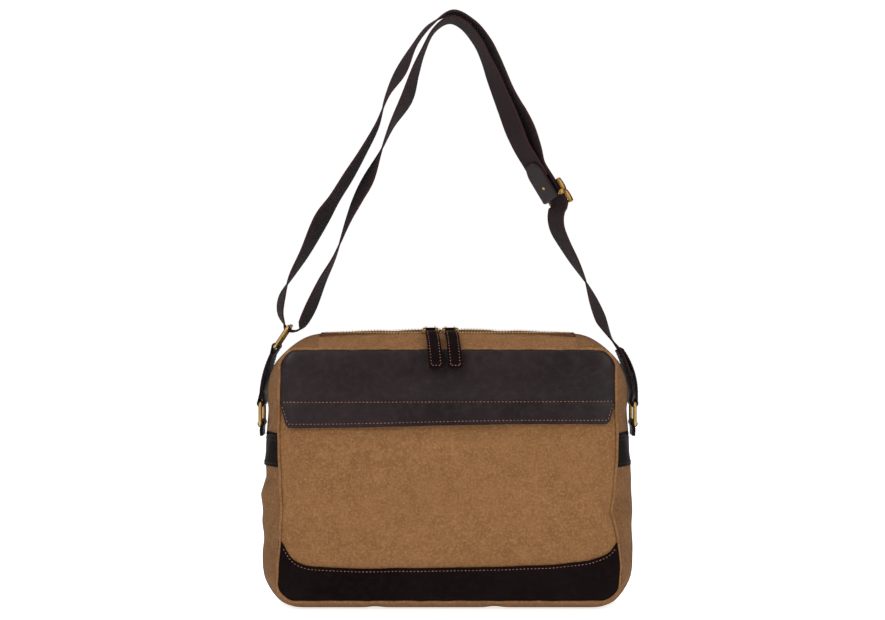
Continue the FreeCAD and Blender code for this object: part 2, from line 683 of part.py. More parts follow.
def webbing_line(step):
    """Points (x, z, roll, y) about `step` millimetres apart along the webbing."""
    s = webbing_stations()
    line_points = [s[0]]
    for k in range(len(s) - 1):
        p0, p1, p2, p3 = s[max(k - 1, 0)], s[k], s[k + 1], s[min(k + 2, len(s) - 1)]
        count = max(1, round(math.hypot(p2[0] - p1[0], p2[1] - p1[1]) / step))
        if straight_between(p1, p2):
            line_points.append(p2)
            continue
        for i in range(1, count + 1):
            line_points.append(smooth(p0, p1, p2, p3, i / count))
    return line_points


def strap_webbing():
    """One length of webbing as a closed ribbon of flat facets."""
    points = webbing_line(11.0)
    centres = [V(p[0], p[3], p[1]) for p in points]
    length = sum((b - a).Length for a, b in zip(centres, centres[1:]))
    rings = []
    for k, p in enumerate(points):
        along = (centres[min(k + 1, len(points) - 1)] - centres[max(k - 1, 0)]).normalize()
        left = V(0, 1, 0).cross(along).normalize() * -1
        roll = math.radians(p[2])
        wide = (V(0, -1, 0) * math.cos(roll) + left * math.sin(roll)) * (STRAP_WIDTH / 2)
        thick = wide.cross(along).normalize() * (STRAP_THICK / 2)
        c = centres[k]
        rings.append([c + wide + thick, c - wide + thick, c - wide - thick, c + wide - thick])
    faces = []

    def facet(a, b, c):
        faces.append(Part.Face(Part.makePolygon([a, b, c, a])))

    for r, s in zip(rings, rings[1:]):
        for i in range(4):
            j = (i + 1) % 4
            facet(r[i], r[j], s[j])
            facet(r[i], s[j], s[i])
    for r in (rings[0], rings[-1]):
        facet(r[0], r[1], r[2])
        facet(r[0], r[2], r[3])
    ribbon = Part.Solid(Part.Shell(faces))
    if ribbon.Volume < 0:
        ribbon.reverse()
    print(f"webbing: {length:.0f} mm long, valid {ribbon.isValid()}")
    return ribbon


# ---- all nodes ----------------------------------------------------------------------------------
def build():
    patch, tab, ring = side_patch(), strap_tab(), lower_ring()
    main_tape = zip_tape(ZIP_HALF_LENGTH - GAP, ZIP_SLOT)
    main_chain = zip_chain(ZIP_HALF_LENGTH - 4)
    pocket_tape = zip_tape(POCKET_HALF_LENGTH - GAP, ZIP_SLOT - 0.1)
    pocket_chain = zip_chain(POCKET_HALF_LENGTH - 4)
    return {
        "gusset": gusset(),
        "front_panel": front_panel(),
        "back_panel": back_panel(),
        "front_yoke": front_yoke(),
        "base_trim": base_trim(),
        "side_patch_right": patch,
        "side_patch_left": mirrored(patch),
        "lining": lining(),
        "base_board": base_board(),
        "inner_pocket": inner_pocket(),
        "pocket_pouch": pocket_pouch(),
        "pocket_zip_tape_upper": on_pocket_zip(pocket_tape),
        "pocket_zip_tape_lower": on_pocket_zip(other_side(pocket_tape)),
        "pocket_zip_teeth_upper": on_pocket_zip(pocket_chain),
        "pocket_zip_teeth_lower": on_pocket_zip(other_side(pocket_chain)),
        "pocket_zip_slider": on_pocket_zip(pocket_slider(), POCKET_SLIDER_X),
        "pocket_zip_tab": on_pocket_zip(pocket_tab(), POCKET_SLIDER_X),
        "pocket_flap": pocket_flap(),
        "top_half_front": top_half(-SEAM_Y + GAP, ZIP_Y - ZIP_SLOT),
        "top_half_back": top_half(ZIP_Y + ZIP_SLOT, SEAM_Y - GAP),
        "zip_tape_back": on_main_zip(main_tape),
        "zip_tape_front": on_main_zip(other_side(main_tape)),
        "zip_teeth_back": on_main_zip(main_chain),
        "zip_teeth_front": on_main_zip(other_side(main_chain)),
        "zip_slider_left": on_main_zip(slider(1), SLIDER_X[0]),
        "zip_slider_right": on_main_zip(slider(-1), SLIDER_X[1]),
        "pull_bail_left": on_main_zip(bail(), SLIDER_X[0]),
        "pull_bail_right": on_main_zip(bail(), SLIDER_X[1]),
        "leather_pull_left": leather_pull(SLIDER_X[0]),
        "leather_pull_right": leather_pull(SLIDER_X[1]),
        "strap_tab_right": tab,
        "strap_tab_left": mirrored(tab),
        "lower_ring_right": ring,
        "lower_ring_left": mirrored(ring),
        "strap_end_right": strap_end_right(),
        "strap_end_left": strap_end_left(),
        "upper_ring_left": upper_ring(),
        "strap_webbing": strap_webbing(),
        "adjuster_buckle": on_adjuster(adjuster_buckle()),
        "adjuster_fold": on_adjuster(adjuster_fold()),
        "adjuster_ply_outer": on_adjuster(adjuster_ply_outer()),
        "adjuster_ply_inner": on_adjuster(adjuster_ply_inner()),
        "adjuster_rivet": on_adjuster(adjuster_rivet()),
    }


POCKET_SLIDER_X = 128.0


def main():
    os.makedirs("parts", exist_ok=True)
    for name, shape in build().items():
        if shape.ShapeType == "Compound" and len(shape.Solids) == 1:
            shape = shape.Solids[0]
        print(f"{name}: {len(shape.Solids)} solid(s), valid {shape.isValid()}, {shape.Volume / 1000:.2f} cm3")
        shape.exportStep(f"parts/{name}.step")


main()
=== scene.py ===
"""Canvas messenger bag with leather trim. Metres, in the CAD frame: +Z up, the front panel faces -Y."""
import math

import bmesh
import bpy
import numpy as np
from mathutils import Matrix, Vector
from mathutils.bvhtree import BVHTree
from mathutils.kdtree import KDTree


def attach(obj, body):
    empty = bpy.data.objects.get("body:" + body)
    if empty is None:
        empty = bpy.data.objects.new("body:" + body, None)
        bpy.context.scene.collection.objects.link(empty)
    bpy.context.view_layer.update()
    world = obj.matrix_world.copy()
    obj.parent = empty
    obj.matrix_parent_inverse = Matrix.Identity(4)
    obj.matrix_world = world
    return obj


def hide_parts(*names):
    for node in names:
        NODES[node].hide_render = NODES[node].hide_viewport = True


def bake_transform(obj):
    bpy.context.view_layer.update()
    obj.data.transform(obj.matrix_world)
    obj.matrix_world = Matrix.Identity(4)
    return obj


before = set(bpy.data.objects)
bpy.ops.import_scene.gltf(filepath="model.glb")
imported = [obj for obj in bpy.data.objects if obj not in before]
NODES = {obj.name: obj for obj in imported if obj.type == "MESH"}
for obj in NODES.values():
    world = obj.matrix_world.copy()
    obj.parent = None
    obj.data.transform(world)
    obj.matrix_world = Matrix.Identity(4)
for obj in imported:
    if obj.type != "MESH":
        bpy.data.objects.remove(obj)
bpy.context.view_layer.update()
MM = 0.001


# ---- camera, light and floor --------------------------------------------------------------------
CAMERA_DISTANCE = 2.0
CAMERA_RISE = math.radians(1.0)
TARGET = Vector((-0.0052, 0.0, 0.3035))
VIEW_WIDTH = 0.914           # metres across the picture at the target


def add_camera():
    data = bpy.data.cameras.new("camera")
    data.sensor_width = 36.0
    data.lens = 36.0 * CAMERA_DISTANCE / VIEW_WIDTH
    data.clip_end = 50.0
    camera = bpy.data.objects.new("camera", data)
    bpy.context.collection.objects.link(camera)
    back = Vector((0.0, -math.cos(CAMERA_RISE), math.sin(CAMERA_RISE)))
    camera.location = TARGET + back * CAMERA_DISTANCE
    camera.rotation_euler = (math.pi / 2 - CAMERA_RISE, 0.0, 0.0)
    bpy.context.scene.camera = camera


def area_light(name, location, aim, size, power):
    data = bpy.data.lights.new(name, "AREA")
    data.shape = "RECTANGLE"
    data.size, data.size_y = size
    data.energy = power
    lamp = bpy.data.objects.new(name, data)
    bpy.context.collection.objects.link(lamp)
    lamp.location = location
    lamp.rotation_euler = (Vector(aim) - Vector(location)).to_track_quat("-Z", "Y").to_euler()


def background(tree, strength):
    node = tree.nodes.new("ShaderNodeBackground")
    node.inputs["Color"].default_value = (1, 1, 1, 1)
    node.inputs["Strength"].default_value = strength
    return node.outputs[0]


def add_studio():
    area_light("key", (-1.2, -1.8, 1.7), (0, 0, 0.22), (1.0, 1.6), 33)
    area_light("fill", (1.3, -1.8, 1.3), (0, 0, 0.22), (1.0, 1.6), 22)
    area_light("top", (0.0, -0.1, 2.0), (0, 0, 0.2), (1.8, 1.0), 22)
    scene = bpy.context.scene
    scene.view_settings.view_transform = "Standard"
    world = bpy.data.worlds.new("studio")
    scene.world = world
    world.use_nodes = True
    tree = world.node_tree
    tree.nodes.clear()
    mix = tree.nodes.new("ShaderNodeMixShader")
    tree.links.new(tree.nodes.new("ShaderNodeLightPath").outputs["Is Camera Ray"], mix.inputs[0])
    tree.links.new(background(tree, 0.30), mix.inputs[1])
    tree.links.new(background(tree, 1.02), mix.inputs[2])
    tree.links.new(mix.outputs[0], tree.nodes.new("ShaderNodeOutputWorld").inputs[0])
    mesh = bpy.data.meshes.new("floor")
    s, z = 12.0, -0.0004
    mesh.from_pydata([(-s, -s, z), (s, -s, z), (s, s, z), (-s, s, z)], [], [(0, 1, 2, 3)])
    floor = bpy.data.objects.new("floor", mesh)
    bpy.context.collection.objects.link(floor)
    tree = Shader("floor_paper")
    speck = tree.noise(900.0, detail=2.0)
    colour = tree.ramp(speck, [(0.3, (0.90, 0.90, 0.90)), (0.7, (0.93, 0.93, 0.93))])
    tree.finish(colour, roughness=0.9, emission=(colour, 0.80), Specular_IOR_Level=0.0)
    mesh.materials.append(tree.material)


# ---- materials ----------------------------------------------------------------------------------
def linear(rgb):
    return tuple(((c / 255 + 0.055) / 1.055) ** 2.4 if c > 10 else c / 255 / 12.92 for c in rgb)


class Shader:
    """Small helper that builds a node material around one Principled BSDF."""

    def __init__(self, name):
        self.material = bpy.data.materials.new(name)
        self.material.use_nodes = True
        self.tree = self.material.node_tree
        self.bsdf = self.tree.nodes["Principled BSDF"]
        self.place = self.add("ShaderNodeTexCoord").outputs["Object"]

    def add(self, kind, **settings):
        node = self.tree.nodes.new(kind)
        for key, value in settings.items():
            setattr(node, key, value)
        return node

    def link(self, value, socket):
        if isinstance(value, bpy.types.NodeSocket):
            self.tree.links.new(value, socket)
        elif isinstance(value, (tuple, list)) and len(value) == 3 and socket.type == "RGBA":
            socket.default_value = (*value, 1.0)
        else:
            socket.default_value = value

    def noise(self, scale, detail=3.0, stretch=(1, 1, 1), rough=0.5, distort=0.0):
        mapping = self.add("ShaderNodeMapping")
        self.link(self.place, mapping.inputs["Vector"])
        mapping.inputs["Scale"].default_value = stretch
        node = self.add("ShaderNodeTexNoise")
        self.link(mapping.outputs["Vector"], node.inputs["Vector"])
        node.inputs["Scale"].default_value = scale
        node.inputs["Detail"].default_value = detail
        node.inputs["Roughness"].default_value = rough
        node.inputs["Distortion"].default_value = distort
        return node.outputs["Fac"]

    def cells(self, scale, feature="F1"):
        node = self.add("ShaderNodeTexVoronoi", feature=feature)
        self.link(self.place, node.inputs["Vector"])
        node.inputs["Scale"].default_value = scale
        return node.outputs["Distance"]

    def math(self, op, a, b=0.0, c=0.0):
        node = self.add("ShaderNodeMath", operation=op)
        for value, socket in zip((a, b, c), node.inputs):
            self.link(value, socket)
        return node.outputs[0]

    def ramp(self, fac, stops):
        node = self.add("ShaderNodeValToRGB")
        self.link(fac, node.inputs["Fac"])
        ramp = node.color_ramp
        while len(ramp.elements) < len(stops):
            ramp.elements.new(0.5)
        for element, (at, colour) in zip(ramp.elements, stops):
            element.position = at
            element.color = (*colour, 1.0) if isinstance(colour, tuple) else (colour, colour, colour, 1.0)
        return node.outputs["Color"]

    def mix(self, fac, a, b):
        node = self.add("ShaderNodeMix", data_type="RGBA")
        self.link(fac, node.inputs[0])
        self.link(a, node.inputs[6])
        self.link(b, node.inputs[7])
        return node.outputs[2]

    def axes(self, where=None):
        node = self.add("ShaderNodeSeparateXYZ")
        self.link(where or self.place, node.inputs[0])
        return node.outputs

    def thread(self, coordinate, pitch):
        """0 to 1 across each thread of a weave."""
        turn = self.math("MULTIPLY", coordinate, 2 * math.pi / pitch)
        return self.math("MULTIPLY_ADD", self.math("SINE", turn), 0.5, 0.5)

    def bump(self, layers):
        """layers: (height, distance in metres, strength), coarse first."""
        normal = None
        for height, distance, strength in layers:
            node = self.add("ShaderNodeBump")
            node.inputs["Strength"].default_value = strength
            node.inputs["Distance"].default_value = distance
            self.link(height, node.inputs["Height"])
            if normal is not None:
                self.link(normal, node.inputs["Normal"])
            normal = node.outputs["Normal"]
        return normal

    def rescaled(self, value, low, high, *limits):
        """The value, brought to run from low to high; the limits are where it runs from and to at first."""
        node = self.add("ShaderNodeMapRange")
        self.link(value, node.inputs["Value"])
        if limits:
            node.inputs["From Min"].default_value, node.inputs["From Max"].default_value = limits
        node.inputs["To Min"].default_value, node.inputs["To Max"].default_value = low, high
        return node.outputs["Result"]

    def finish(self, colour, roughness=0.6, bump=None, metallic=0.0, emission=None, **fixed):
        self.link(colour, self.bsdf.inputs["Base Color"])
        self.link(roughness, self.bsdf.inputs["Roughness"])
        self.bsdf.inputs["Metallic"].default_value = metallic
        if bump is not None:
            self.link(bump, self.bsdf.inputs["Normal"])
        if emission is not None:
            self.link(emission[0], self.bsdf.inputs["Emission Color"])
            self.bsdf.inputs["Emission Strength"].default_value = emission[1]
        for key, value in fixed.items():
            self.bsdf.inputs[key.replace("_", " ")].default_value = value
        return self.material


def canvas(name, tint):
    """Washed cotton canvas: plain weave, slubs, faded patches and dusty highs."""
    s = Shader(name)
    x, y, z = s.axes()
    patches = s.noise(16.0, detail=5.0, rough=0.62, distort=0.4)
    cloud = s.noise(95.0, detail=4.0, rough=0.7)
    speckle = s.noise(430.0, detail=3.0, rough=0.75)
    slub_x = s.noise(260.0, detail=2.0, stretch=(0.12, 1, 1.6))
    slub_z = s.noise(260.0, detail=2.0, stretch=(1.6, 1, 0.12))
    base, dark, pale = (
        tuple(c * tint for c in linear(rgb)) for rgb in ((117, 81, 50), (100, 67, 40), (146, 108, 72))
    )
    colour = s.mix(s.ramp(patches, [(0.32, 0.0), (0.72, 0.5)]), base, dark)
    colour = s.mix(s.ramp(cloud, [(0.42, 0.0), (0.75, 0.40)]), colour, pale)
    colour = s.mix(s.ramp(speckle, [(0.48, 0.0), (0.68, 0.75)]), colour, pale)
    colour = s.mix(s.ramp(speckle, [(0.26, 0.45), (0.44, 0.0)]), colour, dark)
    slubs = s.math("MAXIMUM", s.ramp(slub_x, [(0.60, 0.0), (0.78, 0.5)]),
                   s.ramp(slub_z, [(0.62, 0.0), (0.8, 0.4)]))
    colour = s.mix(s.math("MULTIPLY", slubs, 0.45), colour, pale)
    pitch = 0.00135
    weave = s.math("ADD", s.thread(x, pitch), s.thread(z, pitch))
    weave = s.math("ADD", weave, s.thread(y, pitch))
    layers = [
        (patches, 0.004, 0.25), (cloud, 0.0012, 0.35), (slubs, 0.0004, 0.5), (speckle, 0.0003, 0.5),
        (weave, 0.00025, 0.45),
    ]
    return s.finish(
        colour, roughness=0.93, bump=s.bump(layers), Sheen_Weight=0.03, Sheen_Roughness=0.5,
        Specular_IOR_Level=0.06,
    )


def leather(name, dark, mid, pale, roughness, specular):
    """Waxed leather: pull-up clouds, fine pebbled grain, a few pores and scuffs."""
    s = Shader(name)
    clouds = s.noise(14.0, detail=5.0, rough=0.6, distort=0.8)
    fine = s.noise(130.0, detail=4.0, rough=0.65)
    pebble = s.cells(900.0, feature="SMOOTH_F1")
    pores = s.cells(420.0)
    streaks = s.noise(60.0, detail=3.0, stretch=(0.35, 1.0, 1.5), distort=1.2)
    colour = s.mix(s.ramp(clouds, [(0.35, 0.0), (0.72, 1.0)]), linear(dark), linear(mid))
    colour = s.mix(s.ramp(fine, [(0.48, 0.0), (0.78, 0.35)]), colour, linear(pale))
    colour = s.mix(s.ramp(streaks, [(0.62, 0.0), (0.74, 0.30)]), colour, linear(pale))
    shine = s.math("ADD", s.math("MULTIPLY", fine, 0.6), s.math("MULTIPLY", clouds, 0.4))
    rough = s.rescaled(shine, *roughness, 0.3, 0.7)
    layers = [
        (clouds, 0.003, 0.2), (fine, 0.0006, 0.35), (pebble, 0.00035, 0.40),
        (s.ramp(pores, [(0.0, 0.0), (0.16, 1.0)]), 0.0002, 0.25),
    ]
    return s.finish(
        colour, roughness=rough, bump=s.bump(layers), Specular_IOR_Level=specular,
    )


def webbing_cloth(name):
    """Heavy ribbed webbing. UV: u runs across in metres, v along in metres."""
    s = Shader(name)
    uv = s.add("ShaderNodeUVMap", uv_map="run").outputs["UV"]
    u, v, _ = s.axes(uv)
    across = s.thread(u, 0.0016)
    skew = s.math("ADD", v, s.math("MULTIPLY", s.math("PINGPONG", u, 0.0047), 0.9))
    twill = s.thread(skew, 0.0019)
    weave = s.math("MULTIPLY", s.math("ADD", across, twill), 0.5)
    fuzz = s.noise(900.0, detail=3.0, rough=0.7)
    fade = s.noise(22.0, detail=4.0, rough=0.6)
    colour = s.mix(weave, linear((24, 15, 17)), linear((36, 25, 27)))
    colour = s.mix(s.ramp(fuzz, [(0.5, 0.0), (0.8, 0.15)]), colour, linear((50, 36, 37)))
    colour = s.mix(s.ramp(fade, [(0.4, 0.0), (0.75, 0.35)]), colour, linear((42, 31, 32)))
    edge = s.math("ABSOLUTE", u)
    selvedge = s.math("GREATER_THAN", edge, 0.0166)
    colour = s.mix(s.math("MULTIPLY", selvedge, 0.4), colour, linear((60, 34, 32)))
    bump = s.bump([(fade, 0.002, 0.2), (weave, 0.0004, 0.6), (fuzz, 0.0003, 0.15)])
    return s.finish(
        colour, roughness=0.85, bump=bump, Sheen_Weight=0.02, Sheen_Roughness=0.45,
        Specular_IOR_Level=0.05,
    )


def antique_brass(name, dark=0.5):
    """Antique brass: dark in the recesses and patches, rubbed bright on the highs."""
    s = Shader(name)
    stain = s.noise(120.0, detail=5.0, rough=0.65)
    fine = s.noise(1500.0, detail=3.0)
    geometry = s.add("ShaderNodeNewGeometry")
    worn = s.ramp(geometry.outputs["Pointiness"], [(0.46, 0.0), (0.56, 1.0)])
    colour = s.mix(s.ramp(stain, [(0.35, 0.0), (0.7, 1.0)]), linear((92, 66, 30)), linear((150, 116, 62)))
    colour = s.mix(s.math("MULTIPLY", worn, 0.6), colour, linear((214, 178, 112)))
    colour = s.mix(s.ramp(stain, [(0.62, 0.0), (0.8, dark)]), colour, linear((44, 32, 20)))
    rough = s.rescaled(stain, 0.22, 0.5)
    return s.finish(colour, roughness=rough, metallic=1.0, bump=s.bump([(stain, 0.0004, 0.2), (fine, 0.0001, 0.3)]))


def thread_cloth(name, colour, pale):
    """Twisted sewing thread."""
    s = Shader(name)
    x, y, z = s.axes()
    twist = s.thread(s.math("ADD", s.math("ADD", x, z), y), 0.0009)
    wear = s.noise(300.0, detail=2.0)
    tone = s.mix(s.ramp(wear, [(0.35, 0.0), (0.65, 1.0)]), linear(colour), linear(pale))
    tone = s.mix(s.math("MULTIPLY", twist, 0.35), tone, linear(tuple(c * 0.55 for c in colour)))
    return s.finish(
        tone, roughness=0.7, bump=s.bump([(twist, 0.0002, 0.6)]), Sheen_Weight=0.03, Specular_IOR_Level=0.1,
    )


def plain_cloth(name, colour, pitch=0.0007, sheen=0.2):
    """Plain woven cloth, for the lining, the pocket bags and the zip tapes."""
    s = Shader(name)
    x, y, z = s.axes()
    weave = s.math("ADD", s.math("ADD", s.thread(x, pitch), s.thread(z, pitch)), s.thread(y, pitch))
    weave = s.math("MULTIPLY", weave, 0.34)
    soft = s.noise(40.0, detail=4.0)
    dark = linear(tuple(c * 0.75 for c in colour))
    tone = s.mix(weave, dark, linear(colour))
    tone = s.mix(s.ramp(soft, [(0.35, 0.0), (0.7, 0.4)]), tone, dark)
    return s.finish(
        tone, roughness=0.9, bump=s.bump([(soft, 0.002, 0.3), (weave, 0.0002, 0.6)]), Sheen_Weight=sheen,
        Specular_IOR_Level=0.05,
    )


CANVAS = canvas("washed_canvas", tint=0.90)
# Same washed canvas as the panels, darkened (tint 0.72 against 0.90) as painted shade on the bag's sides; not a
# different cloth.
SHADED_SIDE_CANVAS = canvas("side_canvas_painted_shade", tint=0.72)
YOKE_LEATHER = leather("yoke_leather", (19, 11, 12), (29, 18, 20), (48, 34, 36), (0.30, 0.44), 0.17)
TRIM_LEATHER = leather("trim_leather", (10, 5, 5), (17, 10, 10), (28, 19, 18), (0.45, 0.60), 0.02)
STRAP_LEATHER = leather("strap_leather", (22, 14, 15), (33, 23, 24), (50, 37, 37), (0.38, 0.54), 0.05)
WEBBING = webbing_cloth("webbing_weave")
BRASS = antique_brass("antique_brass")
ZIP_METAL = antique_brass("zip_brass", dark=0.7)
STITCH = thread_cloth("stitch_thread", (122, 76, 66), (160, 108, 94))
DARK_STITCH = thread_cloth("dark_thread", (58, 32, 29), (84, 50, 45))
CANVAS_THREAD = thread_cloth("canvas_thread", (120, 78, 50), (160, 112, 78))
LINING = plain_cloth("lining_cloth", (112, 98, 80))
ZIP_TAPE = plain_cloth("zip_tape_cloth", (92, 58, 44), pitch=0.0009, sheen=0.0)
BOARD = plain_cloth("board_grain", (60, 54, 48), pitch=0.002)

add_camera()
add_studio()


# ---- mesh helpers -------------------------------------------------------------------------------
def new_object(name, points, faces, material, body=None):
    mesh = bpy.data.meshes.new(name)
    mesh.from_pydata([tuple(p) for p in points], [], [tuple(int(i) for i in f) for f in faces])
    mesh.update()
    mesh.polygons.foreach_set("use_smooth", [True] * len(mesh.polygons))
    mesh.materials.append(material)
    thing = bpy.data.objects.new(name, mesh)
    bpy.context.collection.objects.link(thing)
    if body:
        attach(thing, body)
    return thing


def grid_faces(rows, columns, closed_columns=False, keep=None):
    faces = []
    for i in range(rows - 1):
        for j in range(columns if closed_columns else columns - 1):
            if keep is not None and not keep[i, j]:
                continue
            k = (j + 1) % columns
            faces.append((i * columns + j, i * columns + k, (i + 1) * columns + k, (i + 1) * columns + j))
    return faces


def sheet(name, grid, material, keep=None, closed=False):
    """An object out of a grid of points, open, or closed along its rows."""
    rows, columns = grid.shape[:2]
    return new_object(name, grid.reshape(-1, 3), grid_faces(rows, columns, closed, keep), material)


def apply_modifiers(thing):
    bpy.context.view_layer.update()
    graph = bpy.context.evaluated_depsgraph_get()
    mesh = bpy.data.meshes.new_from_object(thing.evaluated_get(graph))
    old = thing.data
    thing.modifiers.clear()
    thing.data = mesh
    bpy.data.meshes.remove(old)
    mesh.polygons.foreach_set("use_smooth", [True] * len(mesh.polygons))
    mesh.set_sharp_from_angle(angle=math.radians(48))


def thicken(thing, thickness, offset=-1.0, bevel=0.0, subdivide=0, keep_edge=False):
    solid = thing.modifiers.new("solid", "SOLIDIFY")
    if keep_edge:
        solid.edge_crease_outer = solid.edge_crease_inner = solid.edge_crease_rim = 1.0
    solid.thickness = thickness
    solid.offset = offset
    solid.use_even_offset = False
    if bevel:
        rounding = thing.modifiers.new("round", "BEVEL")
        rounding.width = bevel
        rounding.segments = 2
        rounding.limit_method = "ANGLE"
        rounding.angle_limit = math.radians(50)
    if subdivide:
        finer = thing.modifiers.new("finer", "SUBSURF")
        finer.levels = finer.render_levels = subdivide
    apply_modifiers(thing)


def catmull(points, step):
    """Smooth line through the points, in steps of about `step`. Rows may carry more than x, y and z."""
    p = np.asarray(points, float)
    p = np.vstack([2 * p[0] - p[1], p, 2 * p[-1] - p[-2]])
    out = [p[1]]
    for k in range(1, len(p) - 2):
        a, b, c, d = p[k - 1], p[k], p[k + 1], p[k + 2]
        count = max(1, int(round(np.linalg.norm((c - b)[:3]) / step)))
        for i in range(1, count + 1):
            t = i / count
            bend, twist = 2 * a - 5 * b + 4 * c - d, 3 * b - a - 3 * c + d
            out.append(0.5 * (2 * b + (c - a) * t + bend * t**2 + twist * t**3))
    return np.array(out)


# ---- the bag's form -----------------------------------------------------------------------------
SEAM_Y, SEAM_HALF, SEAM_LOW, SEAM_TOP, SEAM_CORNER = 46 * MM, 173 * MM, 9 * MM, 265 * MM, 20 * MM
SIDE_SWELL = 16 * MM         # how far the gusset stands out past the seams, in the middle
FLAP_LINE = 212.8 * MM
SLOT_LOW, SLOT_HIGH, SLOT_HALF = 194 * MM, 208 * MM, 140 * MM
ZIP_Y, ZIP_HALF = -12 * MM, 131 * MM
ZIP_FRONT, ZIP_BACK = -0.413, -0.109       # where the canvas ends along the zip, from -1 at the front seam to 1
# Points on the mouth, right corner, side, foot corner, base, foot corner, left side and corner of the outline.
RING_COUNTS = (88, 20, 44, 12, 80, 12, 44, 20)


def section(s):
    """Half width, low and top edges, crown, and top and bottom corner radii of the outline at s."""
    f = 1 - s * s
    return (SEAM_HALF + SIDE_SWELL * f, SEAM_LOW - 14 * MM * f, SEAM_TOP + 14 * MM * f, (0.5 + 3.5 * f) * MM,
            SEAM_CORNER + 45 * MM * f, SEAM_CORNER + 25 * MM * f)


def top_z(x, s):
    """Height of the top at x, for s from -1 on the front seam to 1 on the back seam."""
    half, _, top, crown, rt, _ = section(s)
    tx = half - rt
    x = abs(x)
    if x <= tx:
        return top + crown * (1 - (x / tx) ** 2)
    return top - rt + math.sqrt(max(rt**2 - (x - tx) ** 2, 0.0))


def gusset_ring(s):
    """Points of the outline at s, clockwise from the left end of the zipped mouth."""
    half, low, top, _, rt, rl = section(s)
    tx, tz, bx, bz = half - rt, top - rt, half - rl, low + rl
    flat = max(tx - ZIP_HALF, 0.0)
    angle = math.pi / 2 if tx >= ZIP_HALF else math.acos((ZIP_HALF - tx) / rt)
    span = flat + rt * angle

    def corner(t):
        d = t * span
        if d < flat:
            return ZIP_HALF + d, top_z(ZIP_HALF + d, s)
        a = angle - (d - flat) / rt
        return tx + rt * math.cos(a), tz + rt * math.sin(a)

    def foot(t):
        a = -t * math.pi / 2
        return bx + rl * math.cos(a), bz + rl * math.sin(a)

    n = RING_COUNTS
    mouth = [-ZIP_HALF + 2 * ZIP_HALF * i / n[0] for i in range(n[0])]
    points = [(x, top_z(x, s)) for x in mouth]
    points += [corner(i / n[1]) for i in range(n[1])]
    points += [(half, tz + (bz - tz) * i / n[2]) for i in range(n[2])]
    points += [foot(i / n[3]) for i in range(n[3])]
    points += [(bx - 2 * bx * i / n[4], low) for i in range(n[4])]
    points += [(-x, z) for x, z in (foot(1 - i / n[5]) for i in range(n[5]))]
    points += [(-half, bz + (tz - bz) * i / n[6]) for i in range(n[6])]
    points += [(-x, z) for x, z in (corner(1 - i / n[7]) for i in range(n[7]))]
    p = np.array(points)
    return np.column_stack([p[:, 0], np.full(len(p), s * SEAM_Y), np.maximum(p[:, 1], 0.0)])


def seam_distance(x, z):
    """Distance inwards from the seam of the front or back panel."""
    hx, hz = SEAM_HALF - SEAM_CORNER, (SEAM_TOP - SEAM_LOW) / 2 - SEAM_CORNER
    qx, qz = np.abs(x) - hx, np.abs(z - (SEAM_LOW + SEAM_TOP) / 2) - hz
    outside = np.hypot(np.maximum(qx, 0), np.maximum(qz, 0))
    return SEAM_CORNER - outside - np.minimum(np.maximum(qx, qz), 0)


def seam_half_width(z):
    """Half width of a panel at height z."""
    z = np.asarray(z, float)
    dz = np.maximum(np.maximum(SEAM_LOW + SEAM_CORNER - z, z - (SEAM_TOP - SEAM_CORNER)), 0)
    return SEAM_HALF - SEAM_CORNER + np.sqrt(np.maximum(SEAM_CORNER**2 - dz**2, 0))


PANEL_RISE = 4.2 * MM
TRIM_EDGE = (      # upper edge of the base trim: x, z in millimetres
    (-173, 74), (-170, 69), (-166, 61.5), (-160.5, 54.5), (-152.3, 49.3), (-140.2, 45.8), (-83.3, 43.8),
    (0, 44.6), (60, 46), (105, 47.8), (141, 51.5), (160.5, 57.8), (168.4, 64.5), (173, 73),
)
# How far the front seam is drawn in at each height: z and the amount, in millimetres.
DRAWN_LEFT = (
    (0, 0), (25, 0), (45, 1.5), (70, 3.2), (105, 5.2), (150, 3.2), (185, 0.8), (215, 0), (300, 0),
)
DRAWN_RIGHT = (
    (0, 0), (28, -1.5), (45, -2.5), (62, -1.0), (76, 1.5), (92, 5.0), (101, 8.0), (110, 6.2), (124, 4.2),
    (150, 2.6), (185, 0.6), (215, 0), (300, 0),
)


def smooth_step(t):
    t = np.clip(t, 0, 1)
    return t * t * (3 - 2 * t)


def rise(value, start, over):
    """0 below start, rising smoothly to 1 in the next `over`, both in millimetres; the value is in metres."""
    return smooth_step((value - start * MM) / (over * MM))


def trim_upper(x):
    edge = np.array(TRIM_EDGE) * MM
    near = [np.interp(np.asarray(x) + d * MM, edge[:, 0], edge[:, 1]) for d in (-5, -2.5, 0, 2.5, 5)]
    return sum(near) / len(near)


def panel_y(x, z, lift=0.0):
    """Front face of the canvas front panel (negative Y), puffed up from its seam, with `lift` on top."""
    d = np.maximum(seam_distance(x, z), 0)
    return -(SEAM_Y + PANEL_RISE * (1 - np.exp(-d / (10 * MM))) + lift)


SWING_Z = 180 * MM           # the strap swings about this height
DIMPLE = 2.2 * MM


